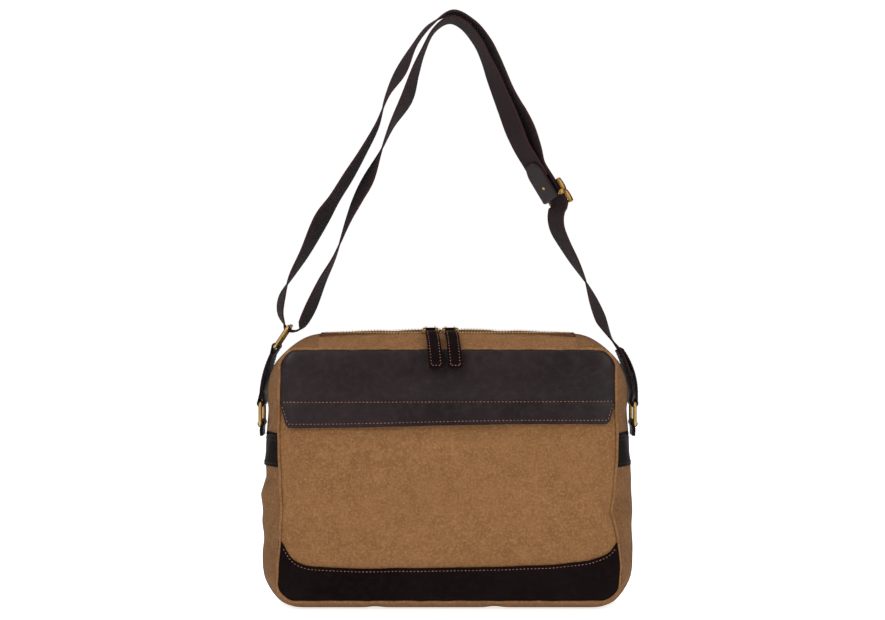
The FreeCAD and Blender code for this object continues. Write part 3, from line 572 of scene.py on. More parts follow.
def drawn_in(points):
    """Moves points sideways: in along the front seam where the cloth is pinched, in a little towards the top of
    the bag, back to the bag's form where the cloth would stand in the strap's way, and in round the strap's tab."""
    points = np.array(points, float)
    x, y, z = points[..., 0], points[..., 1], points[..., 2]
    aside = np.abs(x)
    left, right = np.array(DRAWN_LEFT) * MM, np.array(DRAWN_RIGHT) * MM
    pinch = np.where(x < 0, np.interp(z, left[:, 0], left[:, 1]), np.interp(z, right[:, 0], right[:, 1]))
    reach = np.where(aside < SEAM_HALF, 26 * MM, 12 * MM)
    pinch = pinch * np.exp(-((aside - SEAM_HALF) / reach) ** 2)
    pinch = pinch * np.exp(-(np.maximum(y + SEAM_Y, 0) / (22 * MM)) ** 2)
    taper = 3.0 * MM * rise(z, 160, 50) * rise(aside, 135, 35)
    free = smooth_step((128 * MM - z) / (14 * MM)) + rise(z, 236, 20)
    form = SEAM_HALF + SIDE_SWELL * (1 - (y / SEAM_Y) ** 2)
    proud = np.maximum(aside - form - 0.8 * MM, 0) * (1 - np.clip(free, 0, 1))
    dimple = DIMPLE * (1 - rise(np.hypot(y, z - SWING_Z), 21, 18)) * (aside > 150 * MM)
    points[..., 0] = x - np.sign(x) * (pinch + taper + proud + dimple)
    return points


# ---- slack and creases in the cloth -------------------------------------------------------------
def soft_shell():
    """The bag's closed form, let out a little and blown up against its seams as cloth. Returns where the
    cloth was and how far it moved."""
    rings = [gusset_ring(s) for s in np.linspace(-1, 1, 11)]
    work = bmesh.new()
    for ring in rings:
        for p in ring[::3]:
            work.verts.new(p)
    bmesh.ops.convex_hull(work, input=work.verts)
    mesh = bpy.data.meshes.new("soft_shell")
    work.to_mesh(mesh)
    work.free()
    thing = bpy.data.objects.new("soft_shell", mesh)
    bpy.context.collection.objects.link(thing)
    remesh = thing.modifiers.new("remesh", "REMESH")
    remesh.mode = "VOXEL"
    remesh.voxel_size = 6 * MM
    apply_modifiers(thing)
    mesh = thing.data
    rest = np.array([v.co[:] for v in mesh.vertices])
    pins = thing.vertex_groups.new(name="pins")
    on_seam = (np.abs(np.abs(rest[:, 1]) - SEAM_Y) < 5 * MM) & (seam_distance(rest[:, 0], rest[:, 2]) < 7 * MM)
    on_floor = rest[:, 2] < 4 * MM
    for i in np.nonzero(on_seam | on_floor)[0]:
        pins.add([int(i)], 1.0, "REPLACE")
    cloth = thing.modifiers.new("cloth", "CLOTH")
    settings = cloth.settings
    settings.quality = 6
    settings.mass = 0.35
    settings.tension_stiffness = 25
    settings.compression_stiffness = 25
    settings.shear_stiffness = 12
    settings.bending_stiffness = 1.2
    settings.use_pressure = True
    settings.uniform_pressure_force = 2.2
    settings.vertex_group_mass = "pins"
    settings.shrink_min = -0.022
    settings.shrink_max = -0.022
    settings.effector_weights.gravity = 0.0
    cloth.collision_settings.use_collision = False
    for number in range(1, 21):
        bpy.context.scene.frame_set(number)
    apply_modifiers(thing)
    moved = np.array([v.co[:] for v in thing.data.vertices])
    bpy.data.objects.remove(thing)
    bpy.context.scene.frame_set(1)
    return rest, moved - rest


SLACK_CAP = 7 * MM


def slack_field():
    """Where the cloth was, as a search tree, and how far each place moved, never more than SLACK_CAP."""
    rest, moved = soft_shell()
    length = np.linalg.norm(moved, axis=1)
    scale = np.where(length > SLACK_CAP, SLACK_CAP / np.maximum(length, 1e-9), 1.0)
    moved = moved * scale[:, None]
    tree = KDTree(len(rest))
    for i, p in enumerate(rest):
        tree.insert(p, i)
    tree.balance()
    print("cloth slack: mean", round(float(length.mean()) / MM, 2), "max", round(float(length.max()) / MM, 2))
    return tree, moved


SLACK = slack_field()


def slack_at(points):
    if SLACK is None:
        return np.zeros_like(points)
    tree, moved = SLACK
    out = np.zeros_like(points)
    for k, p in enumerate(points):
        found = tree.find_n(p, 8)
        weights = np.array([1 / (d + 2 * MM) ** 2 for _, _, d in found])
        out[k] = (moved[[i for _, i, _ in found]] * weights[:, None]).sum(0) / weights.sum()
    return out


# Creases: start, end, width, depth in millimetres. Positive depth pushes the cloth out, along its normal.
CREASES = [
    ((168, -46, 118), (196, -10, 104), 6, -3.2), ((160, -49, 126), (174, -46, 100), 7, -2.6),
    ((173, -46, 128), (190, 0, 134), 7, 1.6), ((150, -49, 96), (172, -46, 108), 9, 1.4),
    ((-174, -46, 138), (-190, -6, 128), 5, -2.6), ((-174, -46, 126), (-190, 2, 112), 6, 1.8),
    ((-176, -44, 110), (-190, -4, 96), 6, -2.0), ((-173, -46, 60), (-188, -8, 74), 7, -2.0),
    ((174, -46, 70), (188, -6, 84), 7, -1.8), ((-150, -49, 120), (-172, -46, 112), 8, -1.6),
    ((-74, -30, 0), (-74, -49, 12), 6, -3.0), ((48, -30, 0), (50, -49, 12), 7, -3.2),
    ((-120, -49, 175), (-40, -49, 160), 16, 0.8), ((30, -49, 168), (140, -49, 150), 18, -0.8),
    ((-60, -49, 70), (60, -49, 62), 16, 0.7), ((-90, -49, 110), (20, -49, 120), 24, -0.7),
    ((-150, -40, 262), (-172, -20, 236), 8, -1.6), ((150, -40, 262), (174, -18, 238), 8, -1.6),
    ((-140, -30, 274), (-60, -34, 272), 9, -1.2), ((60, -34, 272), (136, -30, 273), 9, -1.2),
    ((-40, 20, 278), (90, 26, 276), 12, -1.4), ((-120, 24, 275), (-50, 16, 278), 12, 1.0),
    ((-188, -30, 150), (-190, 40, 120), 9, -1.4), ((189, 40, 150), (190, -10, 110), 9, -1.4),
    ((-120, 49, 200), (40, 49, 180), 26, 1.4), ((-20, 49, 120), (140, 49, 90), 28, -1.6),
    ((-150, 49, 60), (-30, 49, 90), 24, 1.2), ((60, 49, 220), (160, 49, 170), 20, -1.2),
]


def creased(points, normals, scale=1.0):
    """Moves points along their normals by the cloth's slack and the creases near them."""
    points = np.asarray(points, float)
    x, z = np.abs(points[:, 0]), points[:, 2]
    held = 0.75 * rise(z, 235, 25) + 0.7 * rise(x, 150, 20) * rise(z, 128, 16) * (1 - rise(z, 225, 25))
    out = points + slack_at(points) * (scale * (1 - held))[:, None]
    for a, b, width, depth in CREASES:
        a, b = np.array(a) * MM, np.array(b) * MM
        ab = b - a
        t = np.clip((points - a) @ ab / (ab @ ab), 0, 1)
        off = np.linalg.norm(points - (a + t[:, None] * ab), axis=1) / (width * MM)
        fall = np.exp(-off**2) * np.sin(np.pi * (0.12 + 0.76 * t)) ** 0.5
        out += normals * (depth * MM * fall * scale)[:, None]
    return out


def grid_normals(grid):
    du = np.gradient(grid, axis=1)
    dv = np.gradient(grid, axis=0)
    n = np.cross(du, dv)
    return n / np.maximum(np.linalg.norm(n, axis=2, keepdims=True), 1e-12)


def front_points(x, z, lift=0.0, sewn=True):
    """Places on the front panel's cloth, moved by its slack and creases, less so under the leather."""
    x, z = np.asarray(x, float), np.asarray(z, float)
    flat = np.column_stack([x, panel_y(x, z), z])
    moved = creased(flat, np.tile([0.0, -1.0, 0.0], (len(flat), 1)), 0.9) - flat
    under = np.maximum(rise(z, 172, 14), smooth_step((trim_upper(x) + 13 * MM - z) / (12 * MM)))
    inwards = np.maximum(seam_distance(x, z), 0)
    free = (1 - np.exp(-inwards / (4 * MM))) * (1 - 0.6 * under)
    flat = flat + moved * free[:, None]
    flat[:, 1] -= lift * (1 - np.exp(-inwards / (1.6 * MM)) if sewn else 1.0)
    return drawn_in(flat)


def on_floor(points):
    points[..., 2] = np.maximum(points[..., 2], 0.0)
    return points


# ---- canvas: gusset, panels, top halves ---------------------------------------------------------
def shell_grid(levels, offset=0.0):
    """The outline at each level, moved outwards by the offset, with the cloth's slack and creases."""
    grid = np.array([gusset_ring(s) for s in levels])
    wrapped = np.concatenate([grid[:, -1:], grid, grid[:, :1]], axis=1)
    normals = grid_normals(wrapped)[:, 1:-1]
    flat, n = grid.reshape(-1, 3), normals.reshape(-1, 3)
    if n[len(n) // 2] @ (flat[len(n) // 2] - np.array([0, 0, 0.14])) < 0:
        n = -n
    return drawn_in(creased(flat + n * offset, n)).reshape(grid.shape)


def all_but_mouth(grid):
    """Which faces of an outline's grid to keep, to leave its zipped mouth open."""
    keep = np.ones(grid.shape[:2], bool)
    keep[:, :RING_COUNTS[0]] = False
    return keep


CANVAS_THICK = 2.0 * MM
FRONT_LEVELS = np.linspace(-1, ZIP_FRONT, 10)
ZIP_LEVELS = np.linspace(ZIP_FRONT, ZIP_BACK, 6)
BACK_LEVELS = np.linspace(ZIP_BACK, 1, 16)


def make_gusset():
    levels = np.concatenate([FRONT_LEVELS, ZIP_LEVELS[1:], BACK_LEVELS[1:]])
    grid = on_floor(shell_grid(levels))
    # The gusset wears the darkened canvas copy: painted shade on the bag's sides.
    thing = sheet("canvas_gusset", grid, SHADED_SIDE_CANVAS, all_but_mouth(grid), closed=True)
    drop_loose(thing)
    thicken(thing, CANVAS_THICK, -side_of(thing, (0, 0, 0.14)), subdivide=1, keep_edge=True)
    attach(thing, "bag")
    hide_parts("gusset")


def drop_loose(thing):
    work = bmesh.new()
    work.from_mesh(thing.data)
    bmesh.ops.delete(work, geom=[v for v in work.verts if not v.link_faces], context="VERTS")
    work.to_mesh(thing.data)
    work.free()


def side_of(thing, centre):
    """1 when the faces point away from the centre, else -1."""
    mesh = thing.data
    total = sum(p.normal.dot(p.center - Vector(centre)) * p.area for p in mesh.polygons)
    return 1 if total > 0 else -1


def top_half(name, levels, side, node_name):
    """Left or right half (side -1 or 1) of one canvas half of the zipped top."""
    middle = RING_COUNTS[0] // 2
    columns = range(middle, RING_COUNTS[0] + 1) if side > 0 else range(middle, -1, -1)
    thing = sheet(name, shell_grid(levels)[:, list(columns)], CANVAS)
    thicken(thing, CANVAS_THICK, -side_of(thing, (0, 0, 0.1)), subdivide=1, keep_edge=True)
    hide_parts(node_name)
    bend_open(thing)


def bend_open(thing):
    """Bakes the piece's transform into its mesh."""
    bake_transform(thing)


def panel_grid(zs, columns):
    """A flat panel's grid, with its rows at the heights zs and its columns from -1 to 1 across it."""
    grid = np.zeros((len(zs), len(columns), 3))
    for i, z in enumerate(zs):
        grid[i, :, 0] = columns * seam_half_width(z)
        grid[i, :, 2] = z
    return grid


def spaced(*marks, step):
    """Values running through all the marks, about `step` apart."""
    out = [marks[0]]
    for a, b in zip(marks, marks[1:]):
        count = max(1, round(abs(b - a) / step))
        out += [a + (b - a) * (i + 1) / count for i in range(count)]
    return np.array(out)


CORNER_ROWS = [SEAM_LOW + SEAM_CORNER * (1 - math.cos(a)) for a in np.linspace(0, math.pi / 2, 12)]
TOP_ROWS = [SEAM_TOP - SEAM_CORNER * (1 - math.cos(a)) for a in np.linspace(math.pi / 2, 0, 12)]


def make_front_panel():
    """Front panel, with the slot of the pocket's zip cut out."""
    straight = spaced(SEAM_LOW + SEAM_CORNER, SLOT_LOW, SLOT_HIGH, SEAM_TOP - SEAM_CORNER, step=4.5 * MM)
    zs = np.array(CORNER_ROWS[:-1] + list(straight) + TOP_ROWS[1:])
    u = spaced(-1, -SLOT_HALF / SEAM_HALF, SLOT_HALF / SEAM_HALF, 1, step=0.026)
    grid = panel_grid(zs, u)
    z = grid[..., 2]
    inside = (np.abs(grid[:, :, 0]) <= SLOT_HALF + 1e-6) & (z >= SLOT_LOW - 1e-6) & (z <= SLOT_HIGH + 1e-6)
    keep = ~(inside[:-1, :-1] & inside[1:, :-1] & inside[:-1, 1:] & inside[1:, 1:])
    keep = np.pad(keep, ((0, 1), (0, 1)), constant_values=True)
    moved = front_points(grid[..., 0].ravel(), z.ravel())
    thing = sheet("canvas_front", moved.reshape(grid.shape), CANVAS, keep)
    drop_loose(thing)
    thicken(thing, CANVAS_THICK, -side_of(thing, (0, 0.5, 0.14)), subdivide=1)
    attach(thing, "bag")
    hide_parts("front_panel")


def make_back_panel():
    straight = spaced(SEAM_LOW + SEAM_CORNER, SEAM_TOP - SEAM_CORNER, step=5 * MM)
    grid = panel_grid(np.array(CORNER_ROWS[:-1] + list(straight) + TOP_ROWS[1:]), np.linspace(-1, 1, 76))
    grid[..., 1] = -panel_y(grid[..., 0], grid[..., 2])
    flat = grid.reshape(-1, 3)
    moved = creased(flat, np.tile([0.0, 1.0, 0.0], (len(flat), 1)), 0.9)
    edge = np.maximum(seam_distance(flat[:, 0], flat[:, 2]), 0) < 1 * MM
    moved[edge] = flat[edge]
    thing = sheet("canvas_back", moved.reshape(grid.shape), CANVAS)
    thicken(thing, CANVAS_THICK, -side_of(thing, (0, -0.5, 0.14)), subdivide=1)
    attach(thing, "bag")
    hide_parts("back_panel")


# ---- sweeps: tubes, straps and stitches ---------------------------------------------------------
def capped(rows, columns):
    """Faces of a tube of `rows` rings, closed at both ends."""
    first = tuple(range(columns - 1, -1, -1))
    last = tuple((rows - 1) * columns + i for i in range(columns))
    return grid_faces(rows, columns, True) + [first, last]


def sweep(name, path, across, profile, material, body, widths=None, uv=False, closed=False):
    """Sweeps a closed profile of (across, up) pairs along a path. `across` holds one unit vector per point, and
    widths scales the profile's across values there."""
    path, across = np.asarray(path, float), np.asarray(across, float)
    along = np.gradient(path, axis=0)
    if closed:
        along = np.roll(path, -1, axis=0) - np.roll(path, 1, axis=0)
    along /= np.linalg.norm(along, axis=1, keepdims=True)
    across = across - along * (across * along).sum(1, keepdims=True)
    across /= np.linalg.norm(across, axis=1, keepdims=True)
    up = np.cross(along, across)
    profile = np.asarray(profile, float)
    widths = np.ones(len(path)) if widths is None else np.asarray(widths)
    grid = (path[:, None] + across[:, None] * (profile[None, :, 0:1] * widths[:, None, None])
            + up[:, None] * profile[None, :, 1:2])
    rows, columns = grid.shape[:2]
    if closed:
        faces = [tuple(i % (rows * columns) for i in f) for f in grid_faces(rows + 1, columns, True)]
    else:
        faces = capped(rows, columns)
    thing = new_object(name, grid.reshape(-1, 3), faces, material, body)
    work = bmesh.new()
    work.from_mesh(thing.data)
    bmesh.ops.recalc_face_normals(work, faces=work.faces)
    work.to_mesh(thing.data)
    work.free()
    if uv:
        lengths = run_lengths(path)
        layer = thing.data.uv_layers.new(name="run")
        for loop in thing.data.loops:
            row, column = divmod(loop.vertex_index, columns)
            layer.data[loop.index].uv = (profile[column, 0], lengths[min(row, rows - 1)])
    return thing


def strap_profile(half, thick, edge=None, count=7):
    """Rounded flat profile, counter-clockwise."""
    r = min(edge if edge is not None else thick * 0.45, thick / 2 * 0.98)
    h = thick / 2
    points = []
    corners = ((half - r, h - r, 0), (-half + r, h - r, 90), (-half + r, -h + r, 180), (half - r, -h + r, 270))
    for cx, cy, a0 in corners:
        for i in range(4):
            a = math.radians(a0 + 30 * i)
            points.append((cx + r * math.cos(a), cy + r * math.sin(a)))
        if a0 in (0, 180):
            sign = 1 if a0 == 0 else -1
            points += [(sign * (half - r) * (1 - 2 * k / count), sign * h) for k in range(1, count)]
    return points


def round_profile(radius, count=10, squash=1.0):
    angles = [2 * math.pi * i / count for i in range(count)]
    return [(radius * math.cos(a), radius * squash * math.sin(a)) for a in angles]


def joined(name, parts, material, body):
    """One mesh out of (points, faces) pairs."""
    points, faces = [], []
    for p, f in parts:
        start = len(points)
        points.extend(p)
        faces.extend(tuple(i + start for i in face) for face in f)
    return new_object(name, points, faces, material, body)


CAPSULE_RINGS = ((-0.5, 0.0), (-0.46, 0.62), (-0.36, 0.95), (0.0, 1.0), (0.36, 0.95), (0.46, 0.62), (0.5, 0.0))


def capsule(a, b, out, radius):
    """A stitch's visible bite: a short fat thread whose two ends dive into the surface."""
    a, b, out = np.asarray(a), np.asarray(b), np.asarray(out)
    axis = b - a
    length = np.linalg.norm(axis)
    axis = axis / length
    side = np.cross(axis, out)
    side /= np.linalg.norm(side)
    middle = (a + b) / 2
    points = []
    for t, r in CAPSULE_RINGS:
        centre = middle + axis * (t * length) + out * (radius * (0.45 - (2 * abs(t)) ** 3 * 1.05))
        for k in range(6):
            angle = math.pi / 3 * k
            points.append(centre + (side * math.cos(angle) + out * math.sin(angle)) * (radius * max(r, 0.05)))
    return points, grid_faces(len(CAPSULE_RINGS), 6, True)


def run_lengths(path):
    """Length of the path up to each of its points."""
    return np.concatenate([[0], np.cumsum(np.linalg.norm(np.diff(path, axis=0), axis=1))])


def resample(path, step):
    """Places about `step` apart along the path."""
    path = np.asarray(path, float)
    lengths = run_lengths(path)
    count = max(1, int(round(lengths[-1] / step)))
    at = np.linspace(0, lengths[-1], count + 1)
    return np.column_stack([np.interp(at, lengths, path[:, k]) for k in range(3)])


def stitches(name, lines, body, material=STITCH, pitch=3.7 * MM, radius=0.34 * MM, bite=0.52):
    """lines: (path, out) pairs, where out is one unit vector or one for each path point."""
    parts = []
    rng = np.random.default_rng(7)
    for path, out in lines:
        path = np.asarray(path, float)
        out = np.broadcast_to(np.asarray(out, float), path.shape)
        places = resample(path, pitch)
        for a, b in zip(places, places[1:]):
            k = np.argmin(((path - (a + b) / 2) ** 2).sum(1))
            trim = (1 - bite) / 2 + rng.uniform(-0.02, 0.02)
            normal = out[k] / np.linalg.norm(out[k])
            jitter = np.cross(b - a, normal)
            jitter = jitter / max(np.linalg.norm(jitter), 1e-9) * rng.uniform(-0.1, 0.1) * MM
            parts.append(capsule(a + (b - a) * trim + jitter, b - (b - a) * trim - jitter, normal, radius))
    return joined(name, parts, material, body)


# ---- leather on the front -----------------------------------------------------------------------
LEATHER = 1.9 * MM
FLAP_TILT = 0.010          # slope of the flap's hanging edge
FLAP_LOW = 188 * MM


def flap_half(z):
    """Half width of the yoke and flap at height z."""
    if z > FLAP_LINE:
        return float(seam_half_width(z)) - 0.4 * MM
    t = (FLAP_LINE - z) / (FLAP_LINE - FLAP_LOW)
    edge = np.interp(t, [0, 0.12, 0.5, 0.85, 0.95, 1.0], [0.6, 0.2, -3.6, -6.2, -7.6, -10.0])
    return SEAM_HALF - 0.2 * MM + edge * MM


def make_yoke():
    """Yoke and pocket flap: one leather sheet that bends along the flap's stitch line."""
    hanging = spaced(FLAP_LOW, FLAP_LINE, step=2.6 * MM)
    upright = spaced(FLAP_LINE, SEAM_TOP - SEAM_CORNER, step=4 * MM)
    zs = np.concatenate([hanging, upright[1:], TOP_ROWS[1:]])
    zs[-1] -= 0.2 * MM
    u = np.concatenate([np.linspace(-1, -0.93, 6)[:-1], np.linspace(-0.93, 0.93, 74), np.linspace(0.93, 1, 6)[1:]])
    grid = np.zeros((len(zs), len(u), 3))
    for i, z in enumerate(zs):
        x = u * flap_half(z)
        hang = max(0.0, FLAP_LINE - z) / (FLAP_LINE - FLAP_LOW)
        lift = 1.9 * MM + 3.4 * MM * hang**0.7
        row = front_points(x, np.full(len(x), max(z, FLAP_LINE)), lift, sewn=z > FLAP_LINE - 1 * MM)
        row[:, 2] += z - max(z, FLAP_LINE)
        row[:, 2] += (FLAP_TILT * x + 1.0 * MM * np.sin(x * 17 + 0.6)) * min(1.0, hang * 1.2)
        row[:, 1] -= 0.9 * MM * hang * np.sin(x * 23 + 1.0) + 0.5 * MM * hang * np.sin(x * 71)
        grid[i] = row
    thing = sheet("leather_yoke_flap", grid, YOKE_LEATHER)
    thicken(thing, LEATHER, -side_of(thing, (0, 0.5, 0.2)), bevel=0.35 * MM, subdivide=1)
    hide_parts("front_yoke", "pocket_flap")
    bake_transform(thing)
    mesh = thing.data
    surface = BVHTree.FromPolygons([v.co.copy() for v in mesh.vertices], [tuple(p.vertices) for p in mesh.polygons])

    def on_leather(x, z):
        hit = surface.ray_cast(Vector((x, -0.2, z)), Vector((0, 1, 0)))
        return hit[0] if hit[0] is not None else Vector((x, -0.054, z))

    xs = np.linspace(-flap_half(FLAP_LINE) + 6.5 * MM, flap_half(FLAP_LINE) - 6.5 * MM, 160)
    top = [on_leather(x, FLAP_LINE - 0.8 * MM + FLAP_TILT * x * 0.3) for x in xs]
    inner = flap_half(FLAP_LOW + 4 * MM) - 5.4 * MM
    low_x = np.linspace(-inner, inner, 150)
    low = [on_leather(x, FLAP_LOW + 4.0 * MM + FLAP_TILT * x + 1.0 * MM * math.sin(x * 17 + 0.6)) for x in low_x]
    ends = []
    for side in (-1, 1):
        zs = np.linspace(FLAP_LOW + 4.2 * MM, FLAP_LINE - 4 * MM, 16)
        ends.append([on_leather(side * (flap_half(z) - 5.2 * MM), z + FLAP_TILT * side * SEAM_HALF * 0.8) for z in zs])
    front = (0, -1, 0)
    stitches("stitch_flap_top", [(top, front)], "bag")
    stitches("stitch_flap_edge", [(low, front), (ends[0], front), (ends[1], front)], "flap")


def trim_lower(x):
    over = np.maximum(np.abs(x) - (SEAM_HALF - SEAM_CORNER), 0)
    return SEAM_LOW + SEAM_CORNER - np.sqrt(np.maximum(SEAM_CORNER**2 - over**2, 0))


def make_base_trim():
    a = np.linspace(0, math.pi / 2, 14)
    ends = SEAM_HALF - SEAM_CORNER + SEAM_CORNER * np.sin(a)
    ends[-1] -= 0.4 * MM
    xs = np.concatenate([-ends[::-1], np.linspace(-(SEAM_HALF - SEAM_CORNER), SEAM_HALF - SEAM_CORNER, 76)[1:-1], ends])
    vs = np.linspace(0, 1, 13)
    grid = np.zeros((len(vs), len(xs), 3))
    for i, v in enumerate(vs):
        z = trim_lower(xs) + (trim_upper(xs) - trim_lower(xs)) * v
        grid[i] = front_points(xs, z, 1.9 * MM)
    thing = sheet("leather_base_trim", grid, TRIM_LEATHER)
    thicken(thing, LEATHER, -side_of(thing, (0, 0.5, 0.02)), bevel=0.35 * MM, subdivide=1)
    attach(thing, "bag")
    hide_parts("base_trim")
    xs = np.linspace(-SEAM_HALF + 4 * MM, SEAM_HALF - 4 * MM, 240)
    line = front_points(xs, trim_upper(xs) - 3.0 * MM, 1.95 * MM)
    stitches("stitch_base_trim", [(line, (0, -1, 0))], "bag")


def make_seam_roll(name, y):
    """The canvas turned in along a panel's seam, as a soft narrow roll."""
    path = gusset_ring(-1 if y < 0 else 1)
    path[:, 1] = y
    across = np.tile([0.0, 1.0, 0.0], (len(path), 1))
    wobble = 0.25 * MM * np.sin(np.arange(len(path)) * 0.9) + 0.2 * MM * np.sin(np.arange(len(path)) * 0.37)
    centre = np.array([0, 0, 0.138])
    radial = path - centre
    radial[:, 1] = 0
    radial /= np.linalg.norm(radial, axis=1, keepdims=True)
    path = path + radial * wobble[:, None]
    path[:, 2] = np.maximum(path[:, 2], 1.6 * MM)
    path = drawn_in(path)
    sweep(name, path, across, round_profile(1.7 * MM, 8, 0.85), CANVAS, "bag", closed=True)


# ---- side patches, tabs and strap ends ----------------------------------------------------------
def make_side_patch(side, name, node_name):
    levels = np.linspace(-0.99, 0.99, 25)
    zs = np.linspace(145 * MM, 180 * MM, 12)
    spread = np.linspace(1.0, 0.0, len(zs)) * MM
    grid = np.zeros((len(zs), len(levels), 3))
    for j, level in enumerate(levels):
        x = section(level)[0] + 0.8 * MM
        grid[:, j] = [(side * (x + more), level * SEAM_Y, z) for z, more in zip(zs, spread)]
    grid = drawn_in(grid)
    thing = sheet(name, grid, TRIM_LEATHER)
    thicken(thing, 2.0 * MM, -side_of(thing, (0, 0, 0.16)), bevel=0.35 * MM, subdivide=1)
    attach(thing, "bag")
    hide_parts(node_name)
    lines = []
    for z in (176.6, 172.4, 148.4):
        stand = 0.85 * MM + (180 - z) / 35 * MM
        along = np.linspace(-0.92, 0.95, 60)
        row = np.array([(side * (section(level)[0] + stand), level * SEAM_Y, z * MM) for level in along])
        slope = np.gradient(row[:, :2], axis=0)
        sideways, forwards = side * np.abs(slope[:, 1]), -slope[:, 0] * np.sign(slope[:, 1]) * side
        out = np.column_stack([sideways, forwards, np.zeros(len(row))])
        lines.append((drawn_in(row), out))
    stitches("stitch_" + name, lines, "bag", material=DARK_STITCH)


RING_WIRE, RING_ROOM, PLY = 2.0 * MM, 0.3 * MM, 1.8 * MM
LOOP_R = RING_WIRE + RING_ROOM + PLY / 2
TAB_FACE = 189.7 * MM
LOWER_X, LOWER_Z = 191.5 * MM, 187 * MM
RIGHT_RUN = ((191.5, 208), (188.3, 236), (177.0, 263))
LEFT_RUN = ((191.5, 208), (186.6, 237), (176.4, 266.2))


def arc_through(run, count):
    """Points on the circle through three points (millimetres in, metres out)."""
    (ax, ay), (bx, by), (cx, cy) = run
    d = 2 * (ax * (by - cy) + bx * (cy - ay) + cx * (ay - by))
    ux = ((ax**2 + ay**2) * (by - cy) + (bx**2 + by**2) * (cy - ay) + (cx**2 + cy**2) * (ay - by)) / d
    uy = ((ax**2 + ay**2) * (cx - bx) + (bx**2 + by**2) * (ax - cx) + (cx**2 + cy**2) * (bx - ax)) / d
    r = math.hypot(ax - ux, ay - uy)
    a0, a1 = math.atan2(ay - uy, ax - ux), math.atan2(cy - uy, cx - ux)
    return np.array([(ux + r * math.cos(a), uy + r * math.sin(a)) for a in np.linspace(a0, a1, count)]) * MM


def arc_round(centre, radius, start, stop, count):
    angles = np.linspace(start, stop, count)
    return [(centre[0] + radius * math.cos(a), centre[1] + radius * math.sin(a)) for a in angles]


def flat_strip(name, line, half, thick, material, body):
    """A strip whose line lies in the XZ plane and whose width runs along Y."""
    path = np.array([(x, 0.0, z) for x, z in line])
    across = np.tile([0.0, 1.0, 0.0], (len(path), 1))
    return sweep(name, path, across, strap_profile(half, thick), material, body)


def normal_2d(line):
    d = np.gradient(line, axis=0)
    d /= np.linalg.norm(d, axis=1, keepdims=True)
    return np.column_stack([d[:, 1], -d[:, 0]])


LINK_TWIST = math.radians(5)


def link_frames(run, side, count=40):
    """Centre line of a leather link with its twisted width and face directions, for the given side of the bag."""
    line = arc_through(run, count)
    n = normal_2d(line)
    turn = LINK_TWIST * np.sin(np.pi * np.linspace(0, 1, count))[:, None]
    face = np.column_stack([n[:, 0], np.zeros(count), n[:, 1]])
    width = np.array([0.0, 1.0, 0.0])
    across = width * np.cos(turn) - face * np.sin(turn)
    out = face * np.cos(turn) + width * np.sin(turn)
    centre = np.column_stack([line[:, 0], np.zeros(count), line[:, 1]])
    flip = np.array([side, 1, 1])
    return centre * flip, across * flip, out * flip, line, n


def make_strap_end(side, run, name, node_name, gap, both_ends):
    """Leather folded round the lower ring; with both_ends it is folded round the upper ring too."""
    centre, across, out, line, n = link_frames(run, side)
    h = gap / 2 + PLY / 2
    inner = slice(7, 34) if both_ends else slice(7, 40)
    flip = np.array([side, 1, 1])

    def loop(place, angle, start, stop):
        points = arc_round(place, LOOP_R, angle + start, angle + stop, 22)
        return np.array([(x, 0.0, z) for x, z in points]) * flip

    a0 = math.atan2(n[0][1], n[0][0])
    low = loop(line[0], a0, 0.5, -math.pi - 0.5)
    flat = np.tile([0.0, 1.0, 0.0], (len(low), 1))
    path = [(centre + out * h)[inner][::-1], low, (centre - out * h)[inner]]
    sides = [across[inner][::-1], flat, across[inner]]
    if both_ends:
        b0 = math.atan2(n[-1][1], n[-1][0])
        path.append(loop(line[-1], b0, math.pi + 0.5, -0.5))
        sides.append(flat)
    thing = sweep(name, np.concatenate(path), np.concatenate(sides),
                  strap_profile(18 * MM, PLY), STRAP_LEATHER, "strap",
                  closed=both_ends)
    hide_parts(node_name)
    for tag, sign in (("a", 1), ("b", -1)):
        face = (centre + out * sign * (h + PLY / 2))[inner]
        rows = [(face + across[inner] * edge, out[inner] * sign) for edge in (-15.4 * MM, 15.4 * MM)]
        stitches(f"stitch_{name}_{tag}", rows, "strap", material=DARK_STITCH, pitch=3.4 * MM)


def make_strap_tab(side, name, node_name):
    ply = 1.4 * MM
    inner, outer = TAB_FACE + ply / 2, TAB_FACE + ply * 1.5
    foot = 174.5 * MM
    loop = arc_round((LOWER_X, LOWER_Z), RING_WIRE + 0.15 * MM + ply / 2, math.radians(235), math.radians(-115), 24)
    line = [(inner, foot), (inner, LOWER_Z - 6 * MM)] + loop[:-2]
    line += [(outer + 0.4 * MM, LOWER_Z - 7 * MM), (outer, foot)]
    line = catmull(np.array([(x, 0, z) for x, z in line]), 0.8 * MM)[:, [0, 2]]
    line[:, 0] *= side
    thing = flat_strip(name, line, 16 * MM, ply * 0.98, STRAP_LEATHER, "strap")
    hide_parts(node_name)
    x = side * (TAB_FACE + 2 * ply)
    rows = [([(x, y, foot + 2.0 * MM) for y in np.linspace(-13 * MM, 13 * MM, 12)], (side, 0, 0))]
    stitches("stitch_" + name, rows, "strap", material=DARK_STITCH, pitch=3.2 * MM)


